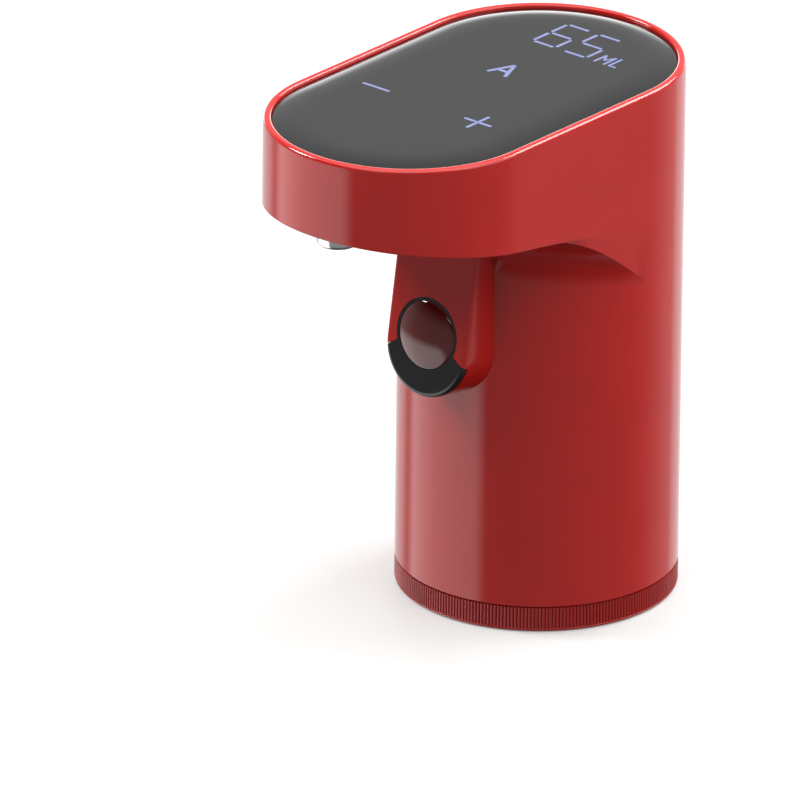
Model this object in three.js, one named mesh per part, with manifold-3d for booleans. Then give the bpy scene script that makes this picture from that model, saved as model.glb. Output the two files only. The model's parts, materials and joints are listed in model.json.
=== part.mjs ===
// Electric wine dispenser that plugs into a bottle neck: a red moulded body with a spout head,
// a touch panel on top, a glass sensor at the front and an air pump inside that pushes the wine out.
// Millimetres, +Z up. The bottle axis is Z, the spout points along -Y, and z = 0 is the lower face
// of the knurled base ring.
import * as THREE from 'three';
import { mergeVertices } from 'three/addons/utils/BufferGeometryUtils.js';
import Module from 'manifold-3d';

const wasm = await Module();
wasm.setup();

// ---------- driving dimensions ----------
const bodyRadius = 30;          // column and head share this radius
const spoutReach = 44.3;        // from the bottle axis to the axis of the head's front round
const bodyHeight = 118.7;       // top of the rim
const undersideHeight = 89.0;   // outer underside of the head, at the bottle axis
const undersideRise = 0.159;    // how far the underside climbs for each mm forward
const headFillet = 14;          // round between the underside and the column
const shellWall = 2.4;
const fitGap = 0.3;             // sideways clearance between fitted pieces
const seatGap = 0.15;           // clearance between stacked faces

const rimWidth = 1.6;           // red rim around the glass
const glassThickness = 2.0;
const glassDrop = 0.1;          // glass top below the rim top
const glassEdgeRun = 3.0;       // width of the rolled edge of the glass
const glassEdgeDrop = 0.7;
const gasketThickness = 0.4;
const gasketWidth = 2.4;
const frameFlange = 1.2;
const frameSkirt = 1.4;         // wall of the panel frame's skirt
const frameSkirtDepth = 3.4;
const tabInset = 2.7;           // screw tabs of the panel frame, in from the touch board's edge
const tabHalf = 3;
const tabHoleRadius = 1.15;
const tabScrewHead = [1.9, 1.3]; // radius and height
const tabScrewRadius = 0.85;
const padHeight = 1.6;          // conductive pads between the touch board and the glass
const padRadius = 3.2;
const keySpots = {
  minus: [-15.1, 8.0 - spoutReach], mode: [-1.0, -11.1], plus: [13.1, 7.4 - spoutReach],
};
const displayAcross = [-8.4, 16.2];
const displayAlong = [3.9, 17.9];
const boardThickness = 1.2;

const ringHeight = 5.27;
const ringSeam = 0.35;          // shadow gap between the base ring and the body
const ringTurn = 30;            // degrees from locked to free
const lugCount = 3;
const lugWidth = 24;            // degrees
const lugHeight = 2.2;
const collarWall = 1.6;         // upright collar of the ring that carries the lugs
const lugReach = 1.8;           // how far a lug stands out of the collar

const neckRadius = 17.5;        // bottle neck with its foil
const socketClearance = 1.5;    // filled by the soft grip
const socketWall = 2;
const ceilingThickness = 2.5;
const mouthHeight = 29;         // where the bottle mouth stops
const stopperRadius = 9.4;      // tapered plug for an 18.5 mm bottle mouth
const stopperLength = 20;
const stopperRibs = 4;
const sealThickness = 2.5;      // silicone flange on the bottle mouth
const coreRadius = 5.4;
const coreFlange = 2.2;
const stemRadius = 7.2;
const stemLength = 8.3;
const chassisFloor = 2.2;

const boltRadius = 1.15;        // base screws
const boltHeadRadius = 2.3;
const boltHeadHeight = 1.8;
const boltLength = 15;
const bossRadius = 3.4;
const boltAngles = [-54.6, -125.4, 64.1, 115.9];

const pumpSpot = [-14.5, 3];
const pumpRadius = 10.2;
const motorLength = 24;
const pumpBodyLength = 11.5;
const pumpHeadLength = 4.5;
const diaphragmThickness = 1.2;
const shaftRadius = 1;
const magnetThickness = 2;
const magnetArc = 150;          // degrees
const pumpScrewHole = 1;
const pistonInset = 6;          // boss under the diaphragm, in from the pump's outside
const pistonDepth = 3;
const channelRadius = 0.45;     // air ways in the moulded pieces
const cellSpot = [14.2, 4];
const cellRadius = 9.15;
const cellLength = 50;
const saddleWall = 1.4;
const saddleHeight = 34;

const wineTubeRadius = 3.1;
const wineTubeBore = 2.1;
const airTubeRadius = 1.8;
const airTubeBore = 1.15;
const barbLength = 4.5;
const manifoldRadius = 9.8;
const manifoldHeight = 10.5;
const airPortOffset = 5.6;      // air port behind the wine port

const nozzleAhead = 21.9;       // spout outlet in front of the centre of the head's front round
const nozzleRadius = 4.6;
const nozzleBore = 3;
const nozzleStemRadius = 4.1;
const elbowWall = 1.0;
const nozzleDrop = 2.6;         // how far the outlet hangs below the underside
const nozzleStem = 7;

const tongueHalfWidth = 10.8;   // front boss that carries the sensor
const tongueCentre = 64.3;      // height of the centre of its lower round
const tongueLean = 9.0;         // degrees the face leans out towards the bottom
const tongueStand = 7.0;        // the face stands this far in front of the column, at the lens
const tongueEdge = 1.0;
const tongueRise = 26;          // its face runs up into the head's fillet, this far above the lens
const tongueWall = 1.8;
const sensorBoardInset = 1.5;   // from the pocket's side walls
const sensorBoardHeight = 13;
const sensorBoardDepth = 8;     // back of the board behind the face
const lensRadius = 7.3;
const lensCentre = 66.9;
const lensBulge = 1.4;
const chinTop = 61.0;           // the black chin reaches up to this height
const bezelRing = 0.7;          // black ring all round the lens
const bezelDepth = 1.6;
const eyeRadius = 1.5;          // infrared emitter and receiver behind the lens
const eyeOffset = 3.2;

const portHeight = 62;          // centre of the charging port at the back
const portWidth = 9.0;
const portThickness = 3.2;
const mainBoardWidth = 32;
const mainBoardHeight = 44;
const mainBoardSetback = 9.4;   // rear face of the main board to the inner wall
const ribbonWidth = 8;
const ribbonThickness = 0.3;
const valveSpot = [-16, -30];
const valveSize = [12, 14, 9];
const valveTravel = 1.2;
const valvePinRadius = 2.2;
const valvePinLength = 7;       // inside the valve body

// ---------- worked-out levels ----------
const innerRadius = bodyRadius - shellWall;
const socketBore = neckRadius + socketClearance;
const collarInner = socketBore + socketWall + 1;
const nozzleReach = spoutReach + nozzleAhead;
const tongueFace = bodyRadius + tongueStand;
const mainBoardBack = innerRadius - mainBoardSetback;
const boltCircle = innerRadius - bossRadius + 0.4;
const boltSpots = boltAngles.map((angle) => {
  const a = THREE.MathUtils.degToRad(angle);
  return [boltCircle * Math.cos(a), boltCircle * Math.sin(a)];
});
const pocketRadius = bodyRadius - rimWidth;
const bodyBottom = ringHeight + ringSeam;
const glassTop = bodyHeight - glassDrop;
const glassBottom = glassTop - glassThickness;
const glassRadius = pocketRadius - fitGap;
const gasketTop = glassBottom - seatGap;
const gasketBottom = gasketTop - gasketThickness;
const frameTop = gasketBottom - seatGap;
const frameBottom = frameTop - frameFlange;
const ledgeHeight = frameBottom - seatGap;
const padTop = glassBottom - seatGap;
const padBottom = padTop - padHeight;
const touchBoardTop = padBottom - seatGap;
const touchBoardBottom = touchBoardTop - boardThickness;
const touchBoardRadius = innerRadius - frameSkirt - 2;
const tabReach = touchBoardRadius - tabInset;
const tabSpots = [[1, -8], [-1, -8], [1, 8.3 - spoutReach], [-1, 8.3 - spoutReach]];

const sealBottom = mouthHeight;
const sealTop = sealBottom + sealThickness;
const coreFlangeBottom = sealTop + seatGap;
const coreFlangeTop = coreFlangeBottom + coreFlange;
const ceilingBottom = coreFlangeTop + 0.8;
const ceilingTop = ceilingBottom + ceilingThickness;
const chassisBottom = ceilingTop + fitGap;
const chassisTop = chassisBottom + chassisFloor;
const manifoldBottom = chassisBottom;
const manifoldTop = manifoldBottom + manifoldHeight;
const stemTop = coreFlangeTop + stemLength;
const deckBottom = manifoldTop + fitGap;
const deckTop = deckBottom + chassisFloor;
const bossBottom = chassisTop + fitGap;
const bossTop = deckTop;
const boltHeadTop = ceilingBottom - seatGap;
const boltTip = boltHeadTop + boltLength;
const bayonetLedge = ringHeight + 4;
const lugBottom = bayonetLedge + fitGap;
const collarTop = lugBottom + lugHeight;

const motorBottom = deckTop + fitGap;
const motorTop = motorBottom + motorLength;
const pumpBodyBottom = motorTop + seatGap;
const pumpBodyTop = pumpBodyBottom + pumpBodyLength;
const diaphragmBottom = pumpBodyTop + seatGap;
const pumpHeadBottom = diaphragmBottom + diaphragmThickness + seatGap;
const pumpHeadTop = pumpHeadBottom + pumpHeadLength;
const airPort = [pumpSpot[0] + 3.5, airPortOffset];
const ventPort = [pumpSpot[0] - 3.5, pumpSpot[1] - 1];
const magnetOuter = pumpRadius - 0.9;
const magnetInner = magnetOuter - magnetThickness;
const armatureRadius = magnetInner - 0.5;
const armatureBottom = motorBottom + 4;
const armatureTop = motorTop - 3;
const pistonRadius = pumpRadius - pistonInset;

const nozzleExit = undersideHeight + undersideRise * nozzleReach;
const nozzleTip = nozzleExit - nozzleDrop;
const nozzleTop = nozzleExit + nozzleStem;
const elbowBottom = nozzleExit + shellWall + 1.2;
const elbowRadius = nozzleStemRadius + fitGap + elbowWall;
const chamberTop = nozzleTop + 3.1;
const elbowTop = chamberTop + 0.9;
const skirtBottom = Math.max(frameBottom - frameSkirtDepth, elbowTop + fitGap);
const tubeRunHeight = nozzleTop + 1.7;
const valveCentre = tubeRunHeight - 3.2;
const valveStop = valveSpot[1] - valveSize[1] / 2;
const lean = THREE.MathUtils.degToRad(tongueLean);
const chin = (chinTop - lensCentre) / Math.cos(lean);
const tongueDrop = (tongueCentre - lensCentre) / Math.cos(lean);

// ---------- helpers ----------
const roundSteps = 36;          // facets in a full turn of the outer rounds
const hiddenSteps = 24;         // of the large rounds inside
const smallSteps = 14;          // and of the small ones

function solid(geometry) {
  const bare = geometry.clone();
  bare.deleteAttribute('normal');
  bare.deleteAttribute('uv');
  const merged = mergeVertices(bare, 1e-4);
  return new wasm.Manifold(new wasm.Mesh({
    numProp: 3,
    vertProperties: new Float32Array(merged.attributes.position.array),
    triVerts: new Uint32Array(merged.index.array),
  }));
}

function geometryOf(body) {
  const mesh = body.getMesh();
  const geometry = new THREE.BufferGeometry();
  geometry.setAttribute('position', new THREE.BufferAttribute(new Float32Array(mesh.vertProperties), 3));
  geometry.setIndex(new THREE.BufferAttribute(new Uint32Array(mesh.triVerts), 1));
  geometry.computeVertexNormals();
  return geometry;
}

// A shape in plan, extruded from one height to another.
function prism(shape, bottom, top, steps = roundSteps / 2) {
  const geometry = new THREE.ExtrudeGeometry(shape, {
    depth: top - bottom, bevelEnabled: false, curveSegments: steps,
  });
  geometry.translate(0, 0, bottom);
  return solid(geometry);
}

// A closed outline of [radius, height] points turned about Z.
function turned(points, steps = hiddenSteps) {
  const outline = points.map(([r, z]) => new THREE.Vector2(r, z));
  const area = THREE.ShapeUtils.area(outline);
  const ordered = area > 0 ? outline : outline.reverse();
  const closed = ordered[0].x > 0 || ordered[ordered.length - 1].x > 0;
  if (closed) ordered.push(ordered[0].clone());
  const geometry = new THREE.LatheGeometry(ordered, steps);
  geometry.rotateX(Math.PI / 2);
  return solid(geometry);
}

function disc(radius, bottom, top, x = 0, y = 0, steps = smallSteps) {
  const geometry = new THREE.CylinderGeometry(radius, radius, top - bottom, steps);
  geometry.rotateX(Math.PI / 2);
  geometry.translate(x, y, (bottom + top) / 2);
  return solid(geometry);
}

// A cylinder along Y from one y to another.
function rod(radius, from, to, x, z, steps = 16) {
  const geometry = new THREE.CylinderGeometry(radius, radius, to - from, steps);
  geometry.translate(x, (from + to) / 2, z);
  return solid(geometry);
}

function block(x0, x1, y0, y1, z0, z1) {
  const geometry = new THREE.BoxGeometry(x1 - x0, y1 - y0, z1 - z0);
  geometry.translate((x0 + x1) / 2, (y0 + y1) / 2, (z0 + z1) / 2);
  return solid(geometry);
}

// Two half rounds joined by straight flanks: the plan of the head and of the panel pieces.
function stadium(radius, reach = spoutReach) {
  const shape = new THREE.Shape();
  shape.absarc(0, 0, radius, 0, Math.PI, false);
  shape.absarc(0, -reach, radius, Math.PI, 2 * Math.PI, false);
  shape.closePath();
  return shape;
}

// A stadium with a smaller one cut out of it, for the hidden pieces.
function stadiumBand(outer, inner, bottom, top) {
  const steps = hiddenSteps / 2;
  return prism(stadium(outer), bottom, top, steps).subtract(prism(stadium(inner), bottom - 1, top + 1, steps));
}

// A ring sector in plan, angles in degrees.
function sector(inner, outer, from, to, x = 0, y = 0) {
  const a = THREE.MathUtils.degToRad(from);
  const b = THREE.MathUtils.degToRad(to);
  const shape = new THREE.Shape();
  shape.absarc(x, y, outer, a, b, false);
  shape.absarc(x, y, inner, b, a, true);
  shape.closePath();
  return shape;
}

function ring(inner, outer, bottom, top, steps = hiddenSteps) {
  return turned([[inner, bottom], [outer, bottom], [outer, top], [inner, top]], steps);
}

// A round hose along a route of points; a hose with a bore is open at both ends.
function hose(points, outer, bore, steps, sides = 10) {
  const section = new THREE.Shape();
  section.absarc(0, 0, outer, 0, 2 * Math.PI, false);
  if (bore > 0) {
    const hole = new THREE.Path();
    hole.absarc(0, 0, bore, 0, 2 * Math.PI, true);
    section.holes.push(hole);
  }
  const route = new THREE.CatmullRomCurve3(points.map((p) => new THREE.Vector3(...p)));
  return solid(new THREE.ExtrudeGeometry(section, { steps, extrudePath: route, curveSegments: sides }));
}

// Everything below the head and outside the column, with the concave round between them.
function belowHead(inset, arcSteps) {
  const column = bodyRadius - inset;
  const centre = bodyRadius + headFillet;
  const radius = headFillet + inset;
  const level = undersideHeight - headFillet;
  const far = bodyRadius + spoutReach + bodyRadius;
  const core = column - 1;
  const outline = [[core, -20], [far, -20], [far, level + radius], [centre, level + radius]];
  for (let i = 1; i < arcSteps; i += 1) {
    const angle = Math.PI / 2 + (Math.PI / 2) * (i / arcSteps);
    outline.push([centre + radius * Math.cos(angle), level + radius * Math.sin(angle)]);
  }
  outline.push([column, level], [core, level]);
  const lathe = new THREE.LatheGeometry(
    [...outline, outline[0]].map(([r, z]) => new THREE.Vector2(r, z)), roundSteps);
  lathe.rotateX(Math.PI / 2);
  const shear = new THREE.Matrix4().set(1, 0, 0, 0, 0, 1, 0, 0, 0, -undersideRise, 1, 0, 0, 0, 0, 1);
  lathe.applyMatrix4(shear);
  return solid(lathe);
}

// Moves a solid drawn on the tongue's face plane (x across, y up the face, z out of it) into place.
function onTongue(geometry) {
  geometry.rotateX(Math.PI / 2 - lean);
  geometry.translate(0, -tongueFace, lensCentre);
  return geometry;
}

function faceDisc(radius, from, to, x = 0, y = 0, steps = 30) {
  const geometry = new THREE.CylinderGeometry(radius, radius, to - from, steps);
  geometry.rotateX(Math.PI / 2);
  geometry.translate(x, y, (from + to) / 2);
  return solid(onTongue(geometry));
}

// The tongue's outline in its own face plane, drawn about the lens centre.
function tongueShape(halfWidth, top) {
  const shape = new THREE.Shape();
  shape.moveTo(halfWidth, top);
  shape.lineTo(-halfWidth, top);
  shape.absarc(0, tongueDrop, halfWidth, Math.PI, 2 * Math.PI, false);
  shape.closePath();
  return shape;
}

const parts = new THREE.Group();

function add(name, body, colour, roughness, metalness = 0) {
  const material = new THREE.MeshStandardMaterial({ color: colour, roughness, metalness });
  const mesh = new THREE.Mesh(geometryOf(body), material);
  mesh.name = name;
  parts.add(mesh);
}

const colours = {
  red: 0xa62d2a, black: 0x141416, glass: 0x26262a, clear: 0xdfe3e6, silicone: 0xd9d4cc,
  white: 0xe8e8e4, steel: 0xb8bbc0, board: 0x1f5a3a, cell: 0x2c62a8, brass: 0xc2a35a, maroon: 0x3a0d10,
};

// ---------- shell ----------
function tongueOuter() {
  const depth = 16;
  const geometry = new THREE.ExtrudeGeometry(tongueShape(tongueHalfWidth - tongueEdge, tongueRise), {
    depth, bevelEnabled: true, bevelSize: tongueEdge, bevelThickness: tongueEdge,
    bevelSegments: 2, curveSegments: 10,
  });
  geometry.translate(0, 0, -depth - tongueEdge);
  return solid(onTongue(geometry));
}

function tonguePocket() {
  const depth = 22;
  const geometry = new THREE.ExtrudeGeometry(tongueShape(tongueHalfWidth - tongueWall, 15), {
    depth, bevelEnabled: false, curveSegments: 8,
  });
  geometry.translate(0, 0, -depth - tongueWall - bezelDepth);
  return solid(onTongue(geometry));
}

// The bezel is a ring about the lens with a chin that wraps the lower end of the tongue.
function bezelBlank(grow, depth) {
  const chinOuter = tongueHalfWidth + 2;
  const start = Math.asin((chin + grow - tongueDrop) / chinOuter);
  const ringOuter = lensRadius + bezelRing + grow;
  const meet = Math.asin((chin + 3 + grow) / ringOuter);
  const shape = new THREE.Shape();
  shape.absarc(0, 0, ringOuter, meet, Math.PI - meet, false);
  shape.absarc(0, tongueDrop, chinOuter, Math.PI - start, 2 * Math.PI + start, false);
  shape.closePath();
  const geometry = new THREE.ExtrudeGeometry(shape, {
    depth: depth + 4, bevelEnabled: false, curveSegments: 9,
  });
  geometry.translate(0, 0, -depth);
  return solid(onTongue(geometry));
}

function portSlot(grow, from, to) {
  const radius = portThickness / 2 + grow;
  const side = (portWidth - portThickness) / 2;
  const shape = new THREE.Shape();
  shape.absarc(side, 0, radius, -Math.PI / 2, Math.PI / 2, false);
  shape.absarc(-side, 0, radius, Math.PI / 2, 1.5 * Math.PI, false);
  shape.closePath();
  const geometry = new THREE.ExtrudeGeometry(shape, {
    depth: to - from, bevelEnabled: false, curveSegments: 5,
  });
  geometry.rotateX(-Math.PI / 2);
  geometry.translate(0, from, portHeight);
  return solid(geometry);
}

function screwPosts() {
  const posts = boltSpots.map(([x, y]) => disc(bossRadius, bossBottom, bossTop, x, y, 16));
  return posts.map((post) => post.intersect(disc(bodyRadius - 1, bossBottom, bossTop)));
}

function bodyShell() {
  const above = bodyHeight + 8;
  const headFloor = undersideHeight - headFillet - 10;
  const head = prism(stadium(bodyRadius), headFloor, bodyHeight).subtract(belowHead(0, 7));
  const column = prism(stadium(bodyRadius, 0), bodyBottom, bodyHeight);
  const hollowHead = prism(stadium(innerRadius), headFloor - 2, above).subtract(belowHead(shellWall, 3));
  const hollowColumn = prism(stadium(innerRadius, 0), bodyBottom - 2, above);
  let shell = head.add(column).add(tongueOuter());
  shell = shell.subtract(hollowHead.add(hollowColumn));
  shell = shell.subtract(prism(stadium(pocketRadius), ledgeHeight, above));
  shell = shell.subtract(tonguePocket());
  shell = shell.subtract(faceDisc(lensRadius - 0.8, -10, 2));
  shell = shell.subtract(bezelBlank(fitGap, bezelDepth));
  shell = shell.subtract(disc(nozzleRadius + fitGap, nozzleTip - 2, elbowBottom, 0, -nozzleReach));
  screwPosts().forEach((post) => {
    shell = shell.add(post);
  });
  boltSpots.forEach(([x, y]) => {
    shell = shell.subtract(disc(boltRadius + fitGap, bossBottom - 1, boltTip + fitGap, x, y, 12));
  });
  return shell.subtract(portSlot(fitGap, innerRadius - 4, bodyRadius + 4));
}

// ---------- touch panel ----------
function glassPanel() {
  const rolled = new THREE.ExtrudeGeometry(stadium(glassRadius - glassEdgeRun), {
    depth: 4, bevelEnabled: true, bevelSize: glassEdgeRun, bevelThickness: glassEdgeDrop,
    bevelSegments: 2, curveSegments: roundSteps / 2,
  });
  rolled.translate(0, 0, glassTop - 4 - glassEdgeDrop);
  return solid(rolled).intersect(block(-60, 60, -120, 60, glassBottom, glassTop + 1));
}

function panelFrame() {
  const band = innerRadius - fitGap - frameSkirt;
  let frame = stadiumBand(glassRadius, band, frameBottom, frameTop);
  frame = frame.add(stadiumBand(innerRadius - fitGap, band, skirtBottom, frameTop));
  const tabBottom = touchBoardTop + seatGap;
  tabSpots.forEach(([side, y]) => {
    const across = [side * (tabReach - 2), side * (band + 0.5)].sort((a, b) => a - b);
    frame = frame.add(block(...across, y - tabHalf, y + tabHalf, tabBottom, frameTop));
    frame = frame.subtract(disc(tabHoleRadius, tabBottom - 1, frameTop + 1, side * tabReach, y, 10));
  });
  return frame;
}

function touchBoard() {
  let board = prism(stadium(touchBoardRadius), touchBoardBottom, touchBoardTop, hiddenSteps / 2);
  tabSpots.forEach(([side, y]) => {
    const hole = disc(tabHoleRadius, touchBoardBottom - 1, touchBoardTop + 1, side * tabReach, y, 10);
    board = board.subtract(hole);
  });
  return board;
}

function boardScrew([side, y]) {
  const [headRadius, headHeight] = tabScrewHead;
  const headTop = touchBoardBottom - seatGap / 2;
  const head = disc(headRadius, headTop - headHeight, headTop, side * tabReach, y, 10);
  return head.add(disc(tabScrewRadius, headTop - headHeight / 2, frameTop - fitGap, side * tabReach, y, 10));
}

// ---------- front sensor ----------
function lens() {
  const bottom = -bezelDepth + seatGap;
  const sphere = (lensRadius * lensRadius + lensBulge * lensBulge) / (2 * lensBulge);
  const outline = [new THREE.Vector2(0, bottom), new THREE.Vector2(lensRadius, bottom)];
  const rings = 4;
  for (let i = 0; i <= rings; i += 1) {
    const r = lensRadius * (1 - i / rings);
    outline.push(new THREE.Vector2(r, Math.sqrt(sphere * sphere - r * r) - sphere + lensBulge));
  }
  const geometry = new THREE.LatheGeometry(outline, 24);
  geometry.rotateX(Math.PI / 2);
  return solid(onTongue(geometry));
}

function bezel() {
  return bezelBlank(0, bezelDepth - seatGap)
    .intersect(tongueOuter())
    .subtract(faceDisc(lensRadius + seatGap, -4, 2));
}

function sensorBoard() {
  const side = 2 * (tongueHalfWidth - tongueWall - sensorBoardInset);
  const geometry = new THREE.BoxGeometry(side, sensorBoardHeight, boardThickness);
  geometry.translate(0, 0, -sensorBoardDepth + boardThickness / 2);
  return solid(onTongue(geometry));
}

function sensorEye(side) {
  const back = -sensorBoardDepth + boardThickness + seatGap;
  return faceDisc(eyeRadius, back, -bezelDepth - 2 * fitGap, side * eyeOffset, 0, 16);
}

// ---------- base, socket and stopper ----------
const lugAngles = Array.from({ length: lugCount }, (_, i) => (i * 360) / lugCount);

function baseRing() {
  const bore = socketBore - 0.1;
  const chamfer = 1.2;
  const edge = 0.6;
  const collar = collarInner + collarWall;
  let body = turned([
    [bore, chamfer], [bore + chamfer, 0], [bodyRadius - edge, 0], [bodyRadius, edge],
    [bodyRadius, ringHeight], [collar, ringHeight], [collar, collarTop],
    [collarInner, collarTop], [collarInner, ringHeight], [bore, ringHeight],
  ], roundSteps);
  lugAngles.forEach((angle) => {
    const lug = sector(collar - 0.4, collar + lugReach, angle - lugWidth / 2, angle + lugWidth / 2);
    body = body.add(prism(lug, lugBottom, collarTop, 6));
  });
  return body;
}

function bayonetSeat() {
  const inner = collarInner + collarWall + fitGap;
  const outer = innerRadius - fitGap;
  const wall = collarInner + collarWall + lugReach + 0.5;
  const bottom = bodyBottom + 0.1;
  let seat = turned([
    [inner, bottom], [outer, bottom], [outer, collarTop + 1.5],
    [wall, collarTop + 1.5], [wall, bayonetLedge], [inner, bayonetLedge],
  ]);
  lugAngles.forEach((angle) => {
    const half = lugWidth / 2 + 2;
    const entry = sector(inner - 1, wall, angle + ringTurn - half, angle + ringTurn + half);
    seat = seat.subtract(prism(entry, bottom - 1, bayonetLedge + 1, 6));
  });
  return seat;
}

function neckSocket() {
  const outer = socketBore + socketWall;
  const bottom = ringHeight + 0.4;
  let socket = turned([
    [socketBore, bottom], [outer, bottom], [outer, ceilingBottom], [innerRadius - fitGap, ceilingBottom],
    [innerRadius - fitGap, ceilingTop], [stemRadius + fitGap, ceilingTop],
    [stemRadius + fitGap, ceilingBottom], [socketBore, ceilingBottom],
  ]);
  boltSpots.forEach(([x, y]) => {
    socket = socket.subtract(disc(boltRadius + fitGap, ceilingBottom - 1, ceilingTop + 1, x, y, 12));
  });
  return socket;
}

function baseBolt([x, y]) {
  return disc(boltHeadRadius, boltHeadTop - boltHeadHeight, boltHeadTop, x, y)
    .add(disc(boltRadius, boltHeadTop - 0.5, boltTip, x, y, 10));
}

function neckGrip() {
  const outer = socketBore - seatGap;
  const inner = neckRadius + fitGap;
  const bottom = ringHeight + 2;
  const lips = 3;
  const pitch = 2.4;
  const outline = [[outer, bottom + lips * pitch], [outer, bottom]];
  for (let i = 0; i < lips; i += 1) {
    outline.push([inner, bottom + i * pitch], [inner, bottom + i * pitch + 0.8]);
    outline.push([inner + 0.6, bottom + i * pitch + 1.2], [inner + 0.6, bottom + (i + 1) * pitch]);
  }
  return turned(outline, 18);
}

function bottleStopper() {
  const bore = coreRadius + seatGap;
  const tip = mouthHeight - stopperLength;
  const pitch = (stopperLength - 3) / stopperRibs;
  const outline = [[bore, tip], [stopperRadius - 1.8, tip]];
  for (let i = 0; i < stopperRibs; i += 1) {
    const z = tip + 1.5 + i * pitch;
    const rib = stopperRadius - 0.2 + 0.2 * i;
    outline.push([rib - 0.9, z], [rib, z + 0.8], [rib, z + 1.8], [rib - 0.9, z + 2.6]);
  }
  outline.push([stopperRadius - 0.6, sealBottom], [neckRadius - fitGap, sealBottom]);
  outline.push([neckRadius - fitGap, sealTop], [bore, sealTop]);
  return turned(outline, 18);
}

function stopperCore() {
  const tip = mouthHeight - stopperLength + 1;
  const bore = 1.6;
  const groove = stemTop - 2.6;
  let core = turned([
    [bore, tip - 6], [2.1, tip - 6], [2.6, tip - 3], [2.2, tip], [coreRadius, tip],
    [coreRadius, coreFlangeBottom],
    [neckRadius - 2, coreFlangeBottom], [neckRadius - 2, coreFlangeTop], [stemRadius, coreFlangeTop],
    [stemRadius, groove], [stemRadius - 0.8, groove], [stemRadius - 0.8, groove + 1.4],
    [stemRadius, groove + 1.4], [stemRadius, stemTop], [3, stemTop], [3, stemTop + 3], [bore, stemTop + 3],
  ], smallSteps);
  core = core.subtract(disc(0.8, tip - 1, stemTop + 1, 0, 4, 10));
  return core;
}

function torus(radius, wire, z, x = 0, y = 0) {
  const geometry = new THREE.TorusGeometry(radius, wire, 5, 20);
  geometry.translate(x, y, z);
  return solid(geometry);
}

function manifold() {
  const stemBore = stemRadius + fitGap;
  const step = stemTop + 0.6;
  const barb = wineTubeBore - fitGap;
  const channel = 1.2;
  let body = turned([
    [stemBore, manifoldBottom], [manifoldRadius, manifoldBottom], [manifoldRadius, manifoldTop],
    [barb, manifoldTop], [barb, manifoldTop + barbLength], [channel, manifoldTop + barbLength],
    [channel, step + 3], [3.3, step + 3], [3.3, step], [stemBore, step],
  ], 24);
  body = body.add(disc(airTubeBore - fitGap, manifoldTop - 1, manifoldTop + barbLength, 0, airPortOffset, 10));
  return body.subtract(disc(channelRadius, step - 1, manifoldTop + barbLength + 1, 0, airPortOffset, 8));
}

// ---------- chassis and power ----------
function chassis() {
  const outer = innerRadius - fitGap;
  const hole = manifoldRadius + fitGap;
  const saddleTop = deckTop + saddleHeight;
  let frame = ring(hole, outer, chassisBottom, chassisTop);
  frame = frame.add(ring(hole, hole + 1.6, chassisBottom, deckTop));
  frame = frame.add(ring(hole, outer, deckBottom, deckTop));
  const cellSaddle = sector(cellRadius + fitGap, cellRadius + fitGap + saddleWall, -60, 75, ...cellSpot);
  const pumpSaddle = sector(pumpRadius + fitGap, pumpRadius + fitGap + saddleWall, 105, 235, ...pumpSpot);
  frame = frame.add(prism(cellSaddle, deckBottom, saddleTop, 9));
  frame = frame.add(prism(pumpSaddle, deckBottom, saddleTop, 9));
  [1, -1].forEach((side) => {
    const x = side * (mainBoardWidth / 2 + 0.6);
    const y = mainBoardBack - boardThickness / 2;
    frame = frame.add(block(x - 1.6, x + 1.6, y - 1.8, y + 1.8, deckBottom, saddleTop));
  });
  const slotHalf = mainBoardWidth / 2 + fitGap;
  const boardFront = mainBoardBack - boardThickness;
  const slot = [boardFront - fitGap, mainBoardBack + fitGap];
  frame = frame.subtract(block(-slotHalf, slotHalf, ...slot, deckTop, saddleTop + 1));
  boltSpots.forEach(([x, y]) => {
    frame = frame.subtract(disc(bossRadius + fitGap, bossBottom, saddleTop + 1, x, y, 16));
    frame = frame.subtract(disc(boltRadius + fitGap, chassisBottom - 1, chassisTop + 1, x, y, 12));
  });
  return frame;
}

function battery() {
  const bottom = deckTop + fitGap;
  const cell = disc(cellRadius, bottom, bottom + cellLength, ...cellSpot);
  return cell.add(disc(3.2, bottom + cellLength - 0.5, bottom + cellLength + 1, ...cellSpot, 20));
}

function mainBoard() {
  const bottom = deckTop + fitGap;
  const half = mainBoardWidth / 2;
  const top = bottom + mainBoardHeight;
  const board = block(-half, half, mainBoardBack - boardThickness, mainBoardBack, bottom, top);
  const chip = block(-4, 4, mainBoardBack - 0.2, mainBoardBack + 1.2, bottom + 26, bottom + 34);
  const inductor = block(5.5, 10, mainBoardBack - 0.2, mainBoardBack + 2.4, bottom + 16, bottom + 20.5);
  return board.add(chip).add(inductor);
}

function chargePort() {
  const wall = 0.35;
  const back = mainBoardBack + 0.2;
  const mouth = bodyRadius - 1.4;
  const shell = portSlot(0, back, mouth).subtract(portSlot(-wall, mouth - 6.5, mouth + 1));
  const blade = block(-3.1, 3.1, mouth - 7, mouth - 1.2, portHeight - 0.35, portHeight + 0.35);
  return shell.add(blade);
}

// ---------- air pump ----------
function motorCan() {
  return turned([
    [pumpRadius - 0.6, motorBottom], [pumpRadius, motorBottom], [pumpRadius, motorTop],
    [shaftRadius + 0.5, motorTop], [shaftRadius + 0.5, motorTop - 0.6], [pumpRadius - 0.6, motorTop - 0.6],
  ], 18).translate(pumpSpot[0], pumpSpot[1], 0);
}

function motorCap() {
  return ring(shaftRadius + fitGap, magnetOuter, motorBottom, motorBottom + 2, 24)
    .translate(pumpSpot[0], pumpSpot[1], 0);
}

function motorMagnet(from) {
  const arc = sector(magnetInner, magnetOuter, from, from + magnetArc, ...pumpSpot);
  return prism(arc, armatureBottom, armatureTop, 10);
}

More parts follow.
